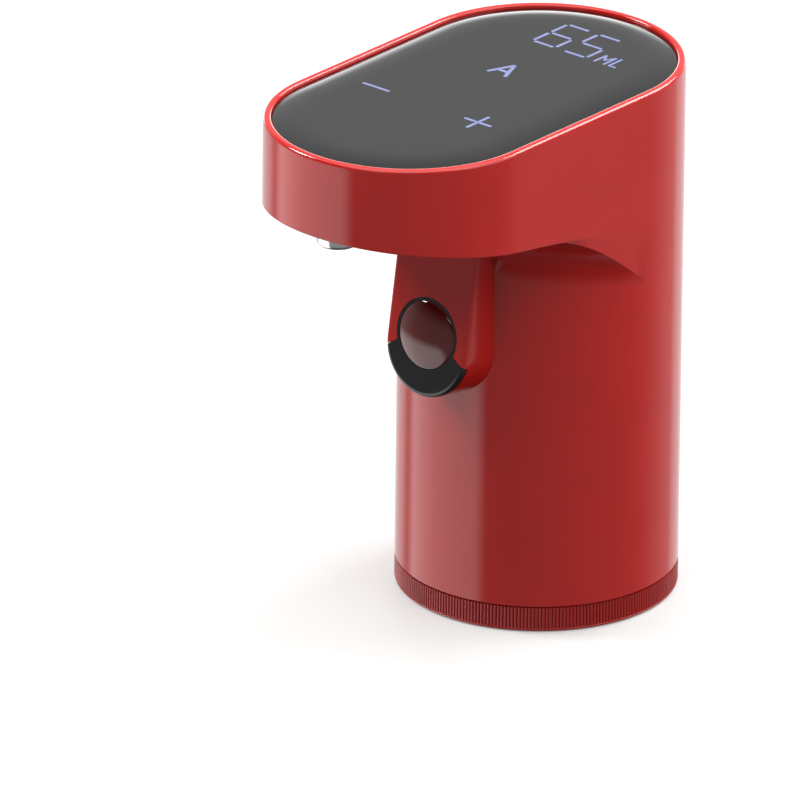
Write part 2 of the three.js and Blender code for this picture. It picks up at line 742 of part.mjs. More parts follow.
function motorRotor() {
  const bottom = motorBottom + 0.3;
  const top = pumpBodyBottom + 6.5;
  return turned([
    [0, bottom], [shaftRadius, bottom], [shaftRadius, armatureBottom], [armatureRadius, armatureBottom],
    [armatureRadius, armatureTop], [shaftRadius, armatureTop], [shaftRadius, top], [0, top],
  ], 18).translate(pumpSpot[0], pumpSpot[1], 0);
}

function pumpEccentric() {
  const bottom = pumpBodyBottom + 2;
  const throwOut = 1;
  return disc(pistonRadius + 0.2, bottom, bottom + 4.6, pumpSpot[0] + throwOut, pumpSpot[1], 24)
    .subtract(disc(shaftRadius + fitGap, bottom - 1, bottom + 6, ...pumpSpot, 16));
}

const pumpScrewAngles = [110, 290];

function pumpScrewSpot(angle) {
  const a = THREE.MathUtils.degToRad(angle);
  const circle = pumpRadius - 1.5;
  return [pumpSpot[0] + circle * Math.cos(a), pumpSpot[1] + circle * Math.sin(a)];
}

function pumpBody() {
  const pumpBore = pumpRadius - 3.1;
  let body = turned([
    [3, pumpBodyBottom], [pumpRadius, pumpBodyBottom], [pumpRadius, pumpBodyTop],
    [pumpBore, pumpBodyTop], [pumpBore, pumpBodyBottom + 1.5], [3, pumpBodyBottom + 1.5],
  ], 18).translate(pumpSpot[0], pumpSpot[1], 0);
  pumpScrewAngles.forEach((angle) => {
    body = body.subtract(disc(pumpScrewHole, pumpBodyTop - 7, pumpBodyTop + 1, ...pumpScrewSpot(angle), 10));
  });
  return body;
}

function pumpDiaphragm() {
  const top = diaphragmBottom + diaphragmThickness;
  let body = turned([
    [0, diaphragmBottom - pistonDepth], [pistonRadius, diaphragmBottom - pistonDepth],
    [pistonRadius, diaphragmBottom], [pumpRadius - 0.2, diaphragmBottom], [pumpRadius - 0.2, top], [0, top],
  ], 18).translate(pumpSpot[0], pumpSpot[1], 0);
  pumpScrewAngles.forEach((angle) => {
    body = body.subtract(disc(pumpScrewHole, diaphragmBottom - 1, top + 1, ...pumpScrewSpot(angle), 10));
  });
  return body;
}

function pumpHead() {
  let body = disc(pumpRadius, pumpHeadBottom, pumpHeadTop, ...pumpSpot);
  body = body.subtract(disc(pumpRadius - 4.6, pumpHeadBottom - 1, pumpHeadBottom + 1.6, ...pumpSpot));
  [airPort, ventPort].forEach(([x, y]) => {
    body = body.add(disc(airTubeBore - fitGap, pumpHeadTop - 1, pumpHeadTop + barbLength, x, y, 10));
    body = body.subtract(disc(channelRadius, pumpHeadBottom + 1, pumpHeadTop + barbLength + 1, x, y, 8));
  });
  pumpScrewAngles.forEach((angle) => {
    body = body.subtract(disc(pumpScrewHole, pumpHeadBottom - 1, pumpHeadTop + 1, ...pumpScrewSpot(angle), 10));
  });
  return body;
}

function pumpScrew(angle) {
  const [x, y] = pumpScrewSpot(angle);
  return disc(1.4, pumpHeadTop + 0.05, pumpHeadTop + 1.2, x, y, 12)
    .add(disc(0.7, pumpBodyTop - 6, pumpHeadTop + 0.5, x, y, 8));
}

// ---------- wine and air lines ----------
function nozzle() {
  const groove = nozzleTop - 1.9;
  const collarTop = nozzleExit + 1.2;
  return turned([
    [nozzleBore, nozzleTip], [nozzleRadius - 0.5, nozzleTip], [nozzleRadius, nozzleTip + 0.5],
    [nozzleRadius, collarTop], [nozzleStemRadius, collarTop], [nozzleStemRadius, groove],
    [nozzleStemRadius - 0.4, groove], [nozzleStemRadius - 0.4, groove + 1],
    [nozzleStemRadius, groove + 1], [nozzleStemRadius, nozzleTop], [nozzleBore, nozzleTop],
  ], 18).translate(0, -nozzleReach, 0);
}

function nozzleElbow() {
  const bore = nozzleStemRadius + 0.4;
  const shoulder = nozzleTop + 0.4;
  const inner = -nozzleReach + elbowRadius;
  const cap = turned([
    [bore, elbowBottom], [elbowRadius, elbowBottom], [elbowRadius, elbowTop], [0, elbowTop],
    [0, chamberTop], [nozzleBore, chamberTop], [nozzleBore, shoulder], [bore, shoulder],
  ], 18).translate(0, -nozzleReach, 0);
  return cap.add(rod(wineTubeBore - fitGap, inner - 0.8, inner + barbLength, 0, tubeRunHeight, 12))
    .subtract(rod(1.1, -nozzleReach + 1, inner + barbLength + 1, 0, tubeRunHeight, 10));
}

function wineTube() {
  const end = -nozzleReach + elbowRadius + fitGap;
  const rise = tubeRunHeight;
  return hose([
    [0, 0, manifoldTop + fitGap], [0, 0, 70], [0, 0, rise - 18], [0, -2.6, rise - 9.6],
    [0, -9, rise - 3.2], [0, -18, rise - 0.4], [0, -34, rise], [0, end, rise],
  ], wineTubeRadius, wineTubeBore, 15, 4);
}

function airTube() {
  const span = (0 - airPort[0]) / 2;
  const start = pumpHeadTop + fitGap;
  const crown = start + 4 + span;
  const points = [[airPort[0], airPort[1], start], [airPort[0], airPort[1], start + 3]];
  [150, 120, 90, 60, 30].forEach((angle) => {
    const a = THREE.MathUtils.degToRad(angle);
    points.push([-span + span * Math.cos(a), airPortOffset, crown - span + span * Math.sin(a)]);
  });
  points.push([0, airPortOffset, start], [0, airPortOffset, 72], [0, airPortOffset, manifoldTop + fitGap]);
  return hose(points, airTubeRadius, airTubeBore, 18, 3);
}

function valveTube() {
  const [x, y] = valveSpot;
  const rear = y + valveSize[1] / 2;
  const start = pumpHeadTop + fitGap;
  return hose([
    [ventPort[0], ventPort[1], start], [ventPort[0], ventPort[1], start + 3.5],
    [ventPort[0] + 0.3, ventPort[1] - 3, valveCentre - 1.6], [x - 0.8, ventPort[1] - 9, valveCentre],
    [x, rear + 8, valveCentre], [x, rear + fitGap, valveCentre],
  ], airTubeRadius, airTubeBore, 12, 3);
}

function valveBody() {
  const [x, y] = valveSpot;
  const [width, length, height] = valveSize;
  const rear = y + length / 2;
  const levels = [valveCentre - height / 2, valveCentre + height / 2];
  return block(x - width / 2, x + width / 2, valveStop, rear, ...levels)
    .subtract(rod(valvePinRadius + fitGap, valveStop - 1, rear - 2, x, valveCentre))
    .add(rod(airTubeBore - fitGap, rear - 1, rear + barbLength, x, valveCentre, 10))
    .subtract(rod(channelRadius, rear - 3, rear + barbLength + 1, x, valveCentre, 8));
}

function valvePlunger() {
  const front = valveStop - valveTravel - 0.4;
  return rod(valvePinRadius, front, valveStop + valvePinLength, valveSpot[0], valveCentre);
}

function valveSpring() {
  const turns = 2.5;
  const from = valveStop + valvePinLength + valveTravel + 0.5;
  const to = valveSpot[1] + valveSize[1] / 2 - 2.5;
  const points = [];
  const stepsPerTurn = 10;
  for (let i = 0; i <= turns * stepsPerTurn; i += 1) {
    const a = (i / stepsPerTurn) * 2 * Math.PI;
    const y = from + ((to - from) * i) / (turns * stepsPerTurn);
    points.push([valveSpot[0] + 1.6 * Math.cos(a), y, valveCentre + 1.6 * Math.sin(a)]);
  }
  return hose(points, 0.25, 0, turns * stepsPerTurn, 2);
}

function panelRibbon() {
  const section = new THREE.Shape();
  section.moveTo(-ribbonWidth / 2, -ribbonThickness / 2);
  section.lineTo(ribbonWidth / 2, -ribbonThickness / 2);
  section.lineTo(ribbonWidth / 2, ribbonThickness / 2);
  section.lineTo(-ribbonWidth / 2, ribbonThickness / 2);
  section.closePath();
  const front = mainBoardBack - boardThickness - 0.5;
  const route = new THREE.CatmullRomCurve3([
    [6, front - 9, touchBoardBottom - 0.5], [6, front - 5.5, touchBoardBottom - 1.4],
    [6, front - 1.6, touchBoardBottom - 6], [6, front, touchBoardBottom - 12], [6, front, deckTop + 36],
  ].map((p) => new THREE.Vector3(...p)));
  return solid(new THREE.ExtrudeGeometry(section, { steps: 12, extrudePath: route }));
}

function cellLead() {
  const top = deckTop + cellLength;
  const front = mainBoardBack - boardThickness - 1.1;
  return hose([
    [cellSpot[0] - 1, cellSpot[1] + 1, top + 3], [cellSpot[0] - 1, cellSpot[1] + 5, top + 5],
    [12.5, front - 1.4, top + 1], [12.5, front, top - 6], [12.5, front, deckTop + 40],
  ], 0.8, 0, 12, 3);
}

// ---------- assembly ----------
add('body_shell', bodyShell(), colours.red, 0.2);
add('touch_panel', glassPanel(), colours.glass, 0.08);
add('panel_gasket', stadiumBand(glassRadius - 0.2, glassRadius - gasketWidth, gasketBottom, gasketTop),
  colours.black, 0.9);
add('panel_frame', panelFrame(), colours.black, 0.5);
add('display_light_guide', block(...displayAcross, ...displayAlong, padBottom, padTop), colours.white, 0.4);
Object.entries(keySpots).forEach(([key, [x, y]]) => {
  add(`touch_pad_${key}`, disc(padRadius, padBottom, padTop, x, y, 20), colours.black, 0.8);
});
add('touch_board', touchBoard(), colours.board, 0.5);
tabSpots.forEach((spot, i) => add(`board_screw_${i + 1}`, boardScrew(spot), colours.steel, 0.3, 1));
add('sensor_lens', lens(), colours.maroon, 0.05);
add('sensor_bezel', bezel(), colours.black, 0.15);
add('sensor_board', sensorBoard(), colours.board, 0.5);
add('ir_emitter', sensorEye(-1), colours.clear, 0.1);
add('ir_receiver', sensorEye(1), colours.black, 0.2);
add('base_ring', baseRing(), colours.red, 0.35);
add('bayonet_seat', bayonetSeat(), colours.black, 0.5);
add('neck_socket', neckSocket(), colours.black, 0.5);
add('neck_grip', neckGrip(), colours.silicone, 0.8);
boltSpots.forEach((spot, i) => add(`base_screw_${i + 1}`, baseBolt(spot), colours.steel, 0.3, 1));
add('bottle_stopper', bottleStopper(), colours.silicone, 0.8);
add('stopper_core', stopperCore(), colours.white, 0.4);
add('stem_seal', torus(stemRadius - 0.25, 0.42, stemTop - 1.9), colours.black, 0.8);
add('manifold', manifold(), colours.white, 0.4);
add('chassis', chassis(), colours.black, 0.55);
add('battery_cell', battery(), colours.cell, 0.35);
add('main_board', mainBoard(), colours.board, 0.5);
add('charge_port', chargePort(), colours.steel, 0.3, 1);
add('motor_can', motorCan(), colours.steel, 0.3, 1);
add('motor_end_cap', motorCap(), colours.white, 0.5);
add('motor_magnet_1', motorMagnet(15), colours.black, 0.6);
add('motor_magnet_2', motorMagnet(195), colours.black, 0.6);
add('motor_rotor', motorRotor(), colours.brass, 0.4, 1);
add('pump_eccentric', pumpEccentric(), colours.white, 0.4);
add('pump_body', pumpBody(), colours.white, 0.4);
add('pump_diaphragm', pumpDiaphragm(), colours.black, 0.8);
add('pump_head', pumpHead(), colours.white, 0.4);
pumpScrewAngles.forEach((angle, i) => add(`pump_screw_${i + 1}`, pumpScrew(angle), colours.steel, 0.3, 1));
add('nozzle', nozzle(), colours.steel, 0.12, 1);
add('nozzle_seal', torus(nozzleStemRadius, 0.32, nozzleTop - 1.4, 0, -nozzleReach), colours.black, 0.8);
add('nozzle_elbow', nozzleElbow(), colours.black, 0.5);
add('wine_tube', wineTube(), colours.clear, 0.3);
add('air_tube', airTube(), colours.clear, 0.3);
add('valve_tube', valveTube(), colours.clear, 0.3);
add('release_valve', valveBody(), colours.black, 0.5);
add('valve_plunger', valvePlunger(), colours.steel, 0.3, 1);
add('valve_spring', valveSpring(), colours.steel, 0.3, 1);
add('panel_ribbon', panelRibbon(), colours.white, 0.5);
add('cell_lead', cellLead(), colours.red, 0.5);

export default parts;
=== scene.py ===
"""Looks of an electric wine dispenser: a gloss red body with a spout head, a black touch glass on top,
a domed sensor window at the front, a ribbed lock ring at the foot and a silicone stopper in its socket."""
import json
import math

import bmesh
import bpy
from mathutils import Matrix, Vector


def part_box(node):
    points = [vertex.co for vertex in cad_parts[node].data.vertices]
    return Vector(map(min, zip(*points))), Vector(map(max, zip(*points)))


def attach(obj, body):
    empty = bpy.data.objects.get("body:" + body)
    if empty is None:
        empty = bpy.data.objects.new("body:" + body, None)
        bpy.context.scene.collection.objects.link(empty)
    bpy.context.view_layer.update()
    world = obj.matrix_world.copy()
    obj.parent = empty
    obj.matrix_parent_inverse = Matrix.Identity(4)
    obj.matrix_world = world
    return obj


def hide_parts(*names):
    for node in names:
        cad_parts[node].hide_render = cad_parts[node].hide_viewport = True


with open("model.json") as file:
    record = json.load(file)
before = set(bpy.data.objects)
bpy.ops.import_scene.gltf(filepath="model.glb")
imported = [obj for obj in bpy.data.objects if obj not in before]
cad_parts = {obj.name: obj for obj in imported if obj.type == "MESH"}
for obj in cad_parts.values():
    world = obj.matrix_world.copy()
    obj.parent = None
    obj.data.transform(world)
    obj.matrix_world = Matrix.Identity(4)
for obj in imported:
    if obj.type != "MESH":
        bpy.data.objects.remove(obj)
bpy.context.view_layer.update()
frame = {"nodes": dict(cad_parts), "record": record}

MM = 0.001


def box_mm(node):
    """Lowest and highest corner of a CAD node, in millimetres."""
    low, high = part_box(node)
    return low / MM, high / MM


# ---------- sizes, in millimetres ----------
shell_low, shell_high = box_mm("body_shell")
BODY_RADIUS = shell_high.y
HEAD_REACH = -shell_low.y - BODY_RADIUS
RIM_TOP = shell_high.z
BODY_BOTTOM = shell_low.z
WALL = 2.4
UNDERSIDE = 89.0            # outer underside of the head, at the bottle axis
UNDERSIDE_RISE = 0.159      # climb of the underside for each mm forward
HEAD_FILLET = 14.0          # hollow round from the underside into the column
FILLET_LEVEL = UNDERSIDE - HEAD_FILLET
RIM_ROUND = 0.75            # outer round of the rim
LIP_ROUND = 0.5             # inner round of the rim, beside the glass
HEAD_EDGE = 0.35            # small round along the head's lower edge
FOOT_ROUND = 0.25           # small round at the column's foot

glass_low, glass_high = box_mm("touch_panel")
GLASS_RADIUS = glass_high.y
POCKET_RADIUS = GLASS_RADIUS + 0.12
LEDGE = glass_low.z - 1.2   # step that carries the glass on its foam tape
GLASS_CROWN_RUN = 9.5       # the glass falls away gently over this width all round
GLASS_CROWN_DROP = 0.65
GLASS_EDGE = 0.25           # small round at its very edge

lens_high = box_mm("sensor_lens")[1]
LEAN = math.radians(9.0)    # the sensor face leans out towards its lower end
LENS_RADIUS = lens_high.x
LENS_SEAT = 1.45            # back of the lens behind the face
LENS_BULGE = 1.4            # height of its dome above the face
FACE_CENTRE = Vector((
    0,
    lens_high.y - LENS_RADIUS * math.sin(LEAN) - LENS_SEAT * math.cos(LEAN),
    lens_high.z - LENS_RADIUS * math.cos(LEAN),
))
TONGUE_HALF = 10.8
TONGUE_LOW = (64.3 - FACE_CENTRE.z) / math.cos(LEAN)    # centre of its lower round, down the face
TONGUE_EDGE = 1.0           # round of its edge
TONGUE_WALL = 1.8
CHIN_TOP = (61.0 - FACE_CENTRE.z) / math.cos(LEAN)      # upper edge of the black trim below the lens
TRIM_DEPTH = 1.5
TRIM_GAP = 0.09             # room round the trim in the shell

ring_high = box_mm("base_ring")[1]
RING_TOP = BODY_BOTTOM - 0.06
RIB_COUNT = 252
RIB_HEIGHT = 0.34           # how far a rib stands out of the band

nozzle_low, nozzle_high = box_mm("nozzle")
NOZZLE_Y = (nozzle_low.y + nozzle_high.y) / 2
NOZZLE_RADIUS = nozzle_high.x
NOZZLE_BORE = 3.0

port_low, port_high = box_mm("charge_port")
PORT_HEIGHT = (port_low.z + port_high.z) / 2
PORT_HALF = (port_high.z - port_low.z) / 2
PORT_SIDE = port_high.x - PORT_HALF

stopper_low, stopper_high = box_mm("bottle_stopper")
core_high = box_mm("stopper_core")[1]
socket_low, socket_high = box_mm("neck_socket")
grip_low, grip_high = box_mm("neck_grip")
NECK_RADIUS = 17.5

# How finely the shapes are divided.
ROUND_STEPS = 9             # rows across a small round
STATION_ARC = 60            # stations round each half turn of the head's plan
STATION_FLANK = 26          # and along each straight flank
UNDERSIDE_ROWS = 34


# ---------- mesh helpers ----------
def mesh_object(name, points, faces, merge=0.0008):
    """A closed mesh from points in millimetres: doubles merged and normals turned outwards."""
    mesh = bpy.data.meshes.new(name)
    mesh.from_pydata([Vector(p) * MM for p in points], [], faces)
    shape = bmesh.new()
    shape.from_mesh(mesh)
    bmesh.ops.remove_doubles(shape, verts=shape.verts, dist=merge * MM)
    bmesh.ops.dissolve_degenerate(shape, edges=shape.edges, dist=merge * MM)
    bmesh.ops.recalc_face_normals(shape, faces=shape.faces)
    shape.to_mesh(mesh)
    shape.free()
    piece = bpy.data.objects.new(name, mesh)
    bpy.context.scene.collection.objects.link(piece)
    return piece


def smooth(piece, angle):
    """Smooth shading, with edges sharper than the angle kept crisp."""
    piece.data.polygons.foreach_set("use_smooth", [True] * len(piece.data.polygons))
    piece.data.set_sharp_from_angle(angle=math.radians(angle))


def skin(columns, round_rows=True, caps=False):
    """Points and faces of a closed round of columns; each column is a list of points, all equally long."""
    rows = len(columns[0])
    count = len(columns)
    points = [p for column in columns for p in column]
    faces = []
    for i in range(count):
        j = (i + 1) % count
        for k in range(rows if round_rows else rows - 1):
            m = (k + 1) % rows
            faces.append((i * rows + k, i * rows + m, j * rows + m, j * rows + k))
    if caps:
        faces.append(tuple(i * rows for i in range(count)))
        faces.append(tuple(i * rows + rows - 1 for i in reversed(range(count))))
    return points, faces


def arc_points(radius, first, turn, steps, centre=(0, 0)):
    """Points along an arc, both ends included; angles are in radians."""
    angles = [first + turn * i / steps for i in range(steps + 1)]
    return [(centre[0] + radius * math.cos(a), centre[1] + radius * math.sin(a)) for a in angles]


def bend(start, corner, end, steps):
    """Points of a soft turn from start to end that leans towards the corner."""
    return [start * (1 - t) ** 2 + corner * 2 * t * (1 - t) + end * t ** 2
            for t in (k / steps for k in range(steps + 1))]


def rounded(outline, radii, steps=5):
    """A closed outline with each corner turned into a small arc; radii has one number for each corner."""
    most = 0.45                 # an arc takes at most this share of an edge
    count = len(outline)
    result = []
    for i, point in enumerate(outline):
        corner = Vector(point)
        if radii[i] <= 0:
            result.append(tuple(corner))
            continue
        before = Vector(outline[i - 1]) - corner
        after = Vector(outline[(i + 1) % count]) - corner
        start = corner + before.normalized() * min(radii[i], before.length * most)
        end = corner + after.normalized() * min(radii[i], after.length * most)
        result += [tuple(p) for p in bend(start, corner, end, steps)]
    return result


def lathe(name, outline, steps=96, centre=(0, 0), closed=True):
    """An outline of (radius, height) turned about a vertical axis."""
    columns = []
    for i in range(steps):
        a = 2 * math.pi * i / steps
        columns.append([(centre[0] + r * math.cos(a), centre[1] + r * math.sin(a), z) for r, z in outline])
    return mesh_object(name, *skin(columns, round_rows=closed))


def head_plan(radius, flank=6):
    """Plan points of the head: two half rounds joined by straight flanks, anticlockwise from +X."""
    points = arc_points(radius, 0, math.pi, STATION_ARC)
    points += [(-radius, -HEAD_REACH * i / flank) for i in range(1, flank)]
    points += arc_points(radius, math.pi, math.pi, STATION_ARC, (0, -HEAD_REACH))
    points += [(radius, -HEAD_REACH * (1 - i / flank)) for i in range(1, flank)]
    return points


def stack(name, levels, outline_at, turn=None):
    """A closed solid through outlines: outline_at(inset) gives a plan and each level is (inset, height)."""
    plans = [[Vector((x, y, z)) for x, y in outline_at(inset)] for inset, z in levels]
    if turn is not None:
        plans = [[turn @ p for p in plan] for plan in plans]
    columns = [[plan[i] for plan in plans] for i in range(len(plans[0]))]
    return mesh_object(name, *skin(columns, round_rows=False, caps=True))


def plain_mesh(piece):
    """Bakes a piece's modifiers into its mesh."""
    seen = piece.evaluated_get(bpy.context.evaluated_depsgraph_get())
    mesh = bpy.data.meshes.new_from_object(seen)
    piece.modifiers.clear()
    piece.data = mesh
    return piece


def cut(piece, tool, operation="DIFFERENCE"):
    """Joins or cuts a piece with a closed tool, which is then gone."""
    change = piece.modifiers.new("cut", "BOOLEAN")
    change.object = tool
    change.operation = operation
    change.solver = "MANIFOLD"
    plain_mesh(piece)
    bpy.data.objects.remove(tool)
    return piece


# From the plane of the sensor face (x across, y up the face, z out of it) into the frame.
face_place = Matrix.Translation(FACE_CENTRE) @ Matrix.Rotation(math.pi / 2 - LEAN, 4, "X")


# ---------- materials ----------
def linear(hex_colour):
    """Linear colour of an sRGB hex value such as '#a62d2a'."""
    parts = [int(hex_colour[i:i + 2], 16) / 255 for i in (1, 3, 5)]
    return tuple(c / 12.92 if c <= 0.04045 else ((c + 0.055) / 1.055) ** 2.4 for c in parts) + (1.0,)


def add_node(tree, kind, settings=None, links=None):
    """Adds a node; settings are properties or input values, links are input name to output socket."""
    node = tree.nodes.new(kind)
    for key, value in (settings or {}).items():
        if key in node.inputs:
            node.inputs[key].default_value = value
        else:
            setattr(node, key, value)
    for key, socket in (links or {}).items():
        tree.links.new(socket, node.inputs[key])
    return node


def finish_of(name, colour, roughness, grain_mm, depth_mm, rough_spread=0.04, tint=0.06, **sockets):
    """A moulded or machined surface: fine grain in its relief, with a slow drift of roughness and colour.

    grain_mm is the width of one grain of the relief and depth_mm its height."""
    drift_mm = 14
    material = bpy.data.materials.new(name)
    material.use_nodes = True
    tree = material.node_tree
    tree.nodes.clear()
    where = add_node(tree, "ShaderNodeTexCoord").outputs["Object"]
    grain = add_node(tree, "ShaderNodeTexNoise", {"Scale": 1 / (grain_mm * MM), "Detail": 3.0}, {"Vector": where})
    drift = add_node(tree, "ShaderNodeTexNoise", {"Scale": 1 / (drift_mm * MM), "Detail": 2.0}, {"Vector": where})
    relief = add_node(
        tree, "ShaderNodeBump", {"Strength": 1.0, "Distance": depth_mm * MM}, {"Height": grain.outputs["Fac"]})
    gloss = add_node(tree, "ShaderNodeMapRange", {
        "From Min": 0.3, "From Max": 0.7,
        "To Min": max(roughness - rough_spread, 0.0), "To Max": roughness + rough_spread,
    }, {"Value": drift.outputs["Fac"]})
    base = linear(colour)
    shades = add_node(tree, "ShaderNodeValToRGB", {}, {"Fac": drift.outputs["Fac"]})
    shades.color_ramp.elements[0].position = 0.3
    shades.color_ramp.elements[0].color = tuple(c * (1 - tint) for c in base[:3]) + (1.0,)
    shades.color_ramp.elements[1].position = 0.7
    shades.color_ramp.elements[1].color = tuple(min(c * (1 + tint), 1.0) for c in base[:3]) + (1.0,)
    shader = add_node(tree, "ShaderNodeBsdfPrincipled", sockets, {
        "Base Color": shades.outputs["Color"],
        "Roughness": gloss.outputs["Result"],
        "Normal": relief.outputs["Normal"],
    })
    add_node(tree, "ShaderNodeOutputMaterial", {}, {"Surface": shader.outputs["BSDF"]})
    return material


def gloss_red_abs():
    """Red ABS from a mirror-polished mould: deep colour under a sharp gloss, with the faintest ripple."""
    return finish_of("gloss_red_abs", "#a81a15", 0.07, 6.0, 0.004, 0.02, 0.03, **{"IOR": 1.52})


def ribbed_red_abs_painted_shade():
    """The same red ABS on the lock ring, its colour darkened a little as painted shade, and moulded a little duller
    so that its ribs catch light evenly.
    """
    return finish_of("ribbed_red_abs_painted_shade", "#94140f", 0.24, 0.5, 0.004, 0.05, 0.05, **{"IOR": 1.52})


def black_touch_glass():
    """Toughened glass printed black behind: mirror gloss over near black, with faint wipe marks."""
    return finish_of("black_touch_glass", "#0b0b0c", 0.05, 9.0, 0.002, 0.03, 0.1, **{"IOR": 1.52})


def maroon_window():
    """Infrared-pass polycarbonate, polished: very dark red that deepens where it is seen edge on."""
    return finish_of("maroon_window", "#56100d", 0.03, 5.0, 0.002, 0.01, 0.1, **{"IOR": 1.58})


def gloss_black_abs():
    """Black ABS trim, polished: grey reflections on black."""
    return finish_of("gloss_black_abs", "#141416", 0.1, 3.0, 0.003, 0.03, 0.1, **{"IOR": 1.52})


def satin_black_abs():
    """Black ABS with a spark-eroded texture: an even satin without a hard highlight."""
    return finish_of("satin_black_abs", "#17171a", 0.45, 0.3, 0.012, 0.06, 0.12, **{"IOR": 1.52})


def food_silicone():
    """Translucent white food-grade silicone: soft, slightly waxy, light bleeding through thin lips."""
    return finish_of("food_silicone", "#e3ded4", 0.5, 0.25, 0.006, 0.06, 0.03, **{
        "IOR": 1.41, "Subsurface Weight": 0.35, "Subsurface Scale": 1.6 * MM, "Subsurface Radius": (1.0, 0.85, 0.7)})


def nitrile_rubber():
    """Black nitrile rubber: matt and slightly dusty."""
    return finish_of("nitrile_rubber", "#1b1b1d", 0.7, 0.2, 0.01, 0.05, 0.15, **{"IOR": 1.52})


def closed_cell_foam():
    """Black closed-cell foam tape: matt with visible pores."""
    return finish_of("closed_cell_foam", "#161617", 0.92, 0.35, 0.06, 0.03, 0.25, **{"IOR": 1.45})


def natural_acetal():
    """Natural acetal: a milky white with a waxy sheen."""
    return finish_of("natural_acetal", "#e6e5df", 0.36, 0.4, 0.006, 0.05, 0.02, **{
        "IOR": 1.48, "Subsurface Weight": 0.15, "Subsurface Scale": 1.0 * MM})


def clear_polycarbonate():
    """Clear polycarbonate: water-clear with a hard gloss."""
    return finish_of("clear_polycarbonate", "#eef2f4", 0.05, 4.0, 0.002, 0.02, 0.01, **{
        "IOR": 1.58, "Transmission Weight": 0.95})


def clear_silicone_hose():
    """Extruded silicone hose: milky clear, a soft gloss and faint draw lines."""
    return finish_of("clear_silicone_hose", "#dfe6e8", 0.28, 0.8, 0.006, 0.06, 0.02, **{
        "IOR": 1.41, "Transmission Weight": 0.6})


def green_solder_mask():
    """Glass-epoxy board under green solder mask: weave just readable under a satin coat."""
    return finish_of("green_solder_mask", "#14502f", 0.35, 0.5, 0.008, 0.08, 0.18, **{"IOR": 1.5})


def zinc_plated_steel():
    """Zinc-plated steel: bluish grey with a fine drawn grain."""
    return finish_of("zinc_plated_steel", "#b9bcc2", 0.3, 0.25, 0.004, 0.08, 0.05, **{"Metallic": 1.0})


def polished_stainless():
    """Polished stainless tube: a near mirror with the least haze."""
    return finish_of("polished_stainless", "#d2d3d5", 0.08, 1.2, 0.001, 0.03, 0.03, **{"Metallic": 1.0})


def ferrite():
    """Sintered ferrite: charcoal grey and slightly rough."""
    return finish_of("ferrite", "#2b2c2f", 0.6, 0.15, 0.01, 0.05, 0.15, **{"IOR": 2.0})


def enamelled_copper():
    """Enamelled copper winding: warm orange-brown metal with a lacquer gloss."""
    return finish_of("enamelled_copper", "#b4683a", 0.3, 0.35, 0.05, 0.08, 0.12, **{"Metallic": 1.0})


def cell_shrink_wrap():
    """PVC shrink wrap on a lithium cell: smooth blue film with slight waves."""
    return finish_of("cell_shrink_wrap", "#2c62a8", 0.3, 2.5, 0.02, 0.06, 0.05, **{"IOR": 1.53})


def red_wire():
    """PVC wire insulation: plain red, soft gloss."""
    return finish_of("red_wire", "#a31713", 0.4, 0.3, 0.005, 0.06, 0.05, **{"IOR": 1.53})


def white_ribbon():
    """Polyester flat cable: white film with a light sheen."""
    return finish_of("white_ribbon", "#d9d9d4", 0.42, 0.5, 0.004, 0.06, 0.04, **{"IOR": 1.6})


def lit_icons():
    """Backlit print seen through the glass: pale lavender blue, a touch uneven along each stroke."""
    material = bpy.data.materials.new("lit_icons")
    material.use_nodes = True
    tree = material.node_tree
    tree.nodes.clear()
    where = add_node(tree, "ShaderNodeTexCoord").outputs["Object"]
    uneven = add_node(tree, "ShaderNodeTexNoise", {"Scale": 1 / (1.8 * MM), "Detail": 1.0}, {"Vector": where})
    glow = add_node(tree, "ShaderNodeMapRange", {
        "From Min": 0.3, "From Max": 0.7, "To Min": 0.62, "To Max": 0.82}, {"Value": uneven.outputs["Fac"]})
    shader = add_node(tree, "ShaderNodeBsdfPrincipled", {
        "Base Color": linear("#20243a"), "Roughness": 0.1, "Emission Color": linear("#aab3f0"),
    }, {"Emission Strength": glow.outputs["Result"]})
    add_node(tree, "ShaderNodeOutputMaterial", {}, {"Surface": shader.outputs["BSDF"]})
    return material


finishes = {
    "red_gloss": gloss_red_abs(),
    "ring_red": ribbed_red_abs_painted_shade(),
    "panel_glass": black_touch_glass(),
    "sensor_glass": maroon_window(),
    "gloss_black": gloss_black_abs(),
    "black_plastic": satin_black_abs(),
    "foam": closed_cell_foam(),
    "black_rubber": nitrile_rubber(),
    "silicone": food_silicone(),
    "white_plastic": natural_acetal(),
    "clear_plastic": clear_polycarbonate(),
    "spout_steel": polished_stainless(),
    "clear_tube": clear_silicone_hose(),
    "board": green_solder_mask(),
    "steel": zinc_plated_steel(),
    "magnet": ferrite(),
    "copper": enamelled_copper(),
    "cell_wrap": cell_shrink_wrap(),
    "lead": red_wire(),
    "ribbon": white_ribbon(),
}


def place(piece, body, slot, *nodes, material=None, angle=32):
    """Gives a finished piece its material and its body, smooths its shading, and hides the CAD nodes that it stands
    for.
    """
    piece.data.materials.clear()
    piece.data.materials.append(material or finishes[slot])
    smooth(piece, angle)
    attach(piece, body)
    if nodes:
        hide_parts(*nodes)


# ---------- body shell ----------
def plan_stations():
    """Stations round the head's plan: each is a centre along Y and an outward direction."""
    half = [(math.cos(math.pi * i / STATION_ARC), math.sin(math.pi * i / STATION_ARC))
            for i in range(STATION_ARC + 1)]
    shares = [i / STATION_FLANK for i in range(1, STATION_FLANK)]
    stations = [(0.0, dx, dy) for dx, dy in half]
    stations += [(-HEAD_REACH * share, -1.0, 0.0) for share in shares]
    stations += [(-HEAD_REACH, -dx, -dy) for dx, dy in half]
    stations += [(-HEAD_REACH * (1 - share), 1.0, 0.0) for share in shares]
    return stations


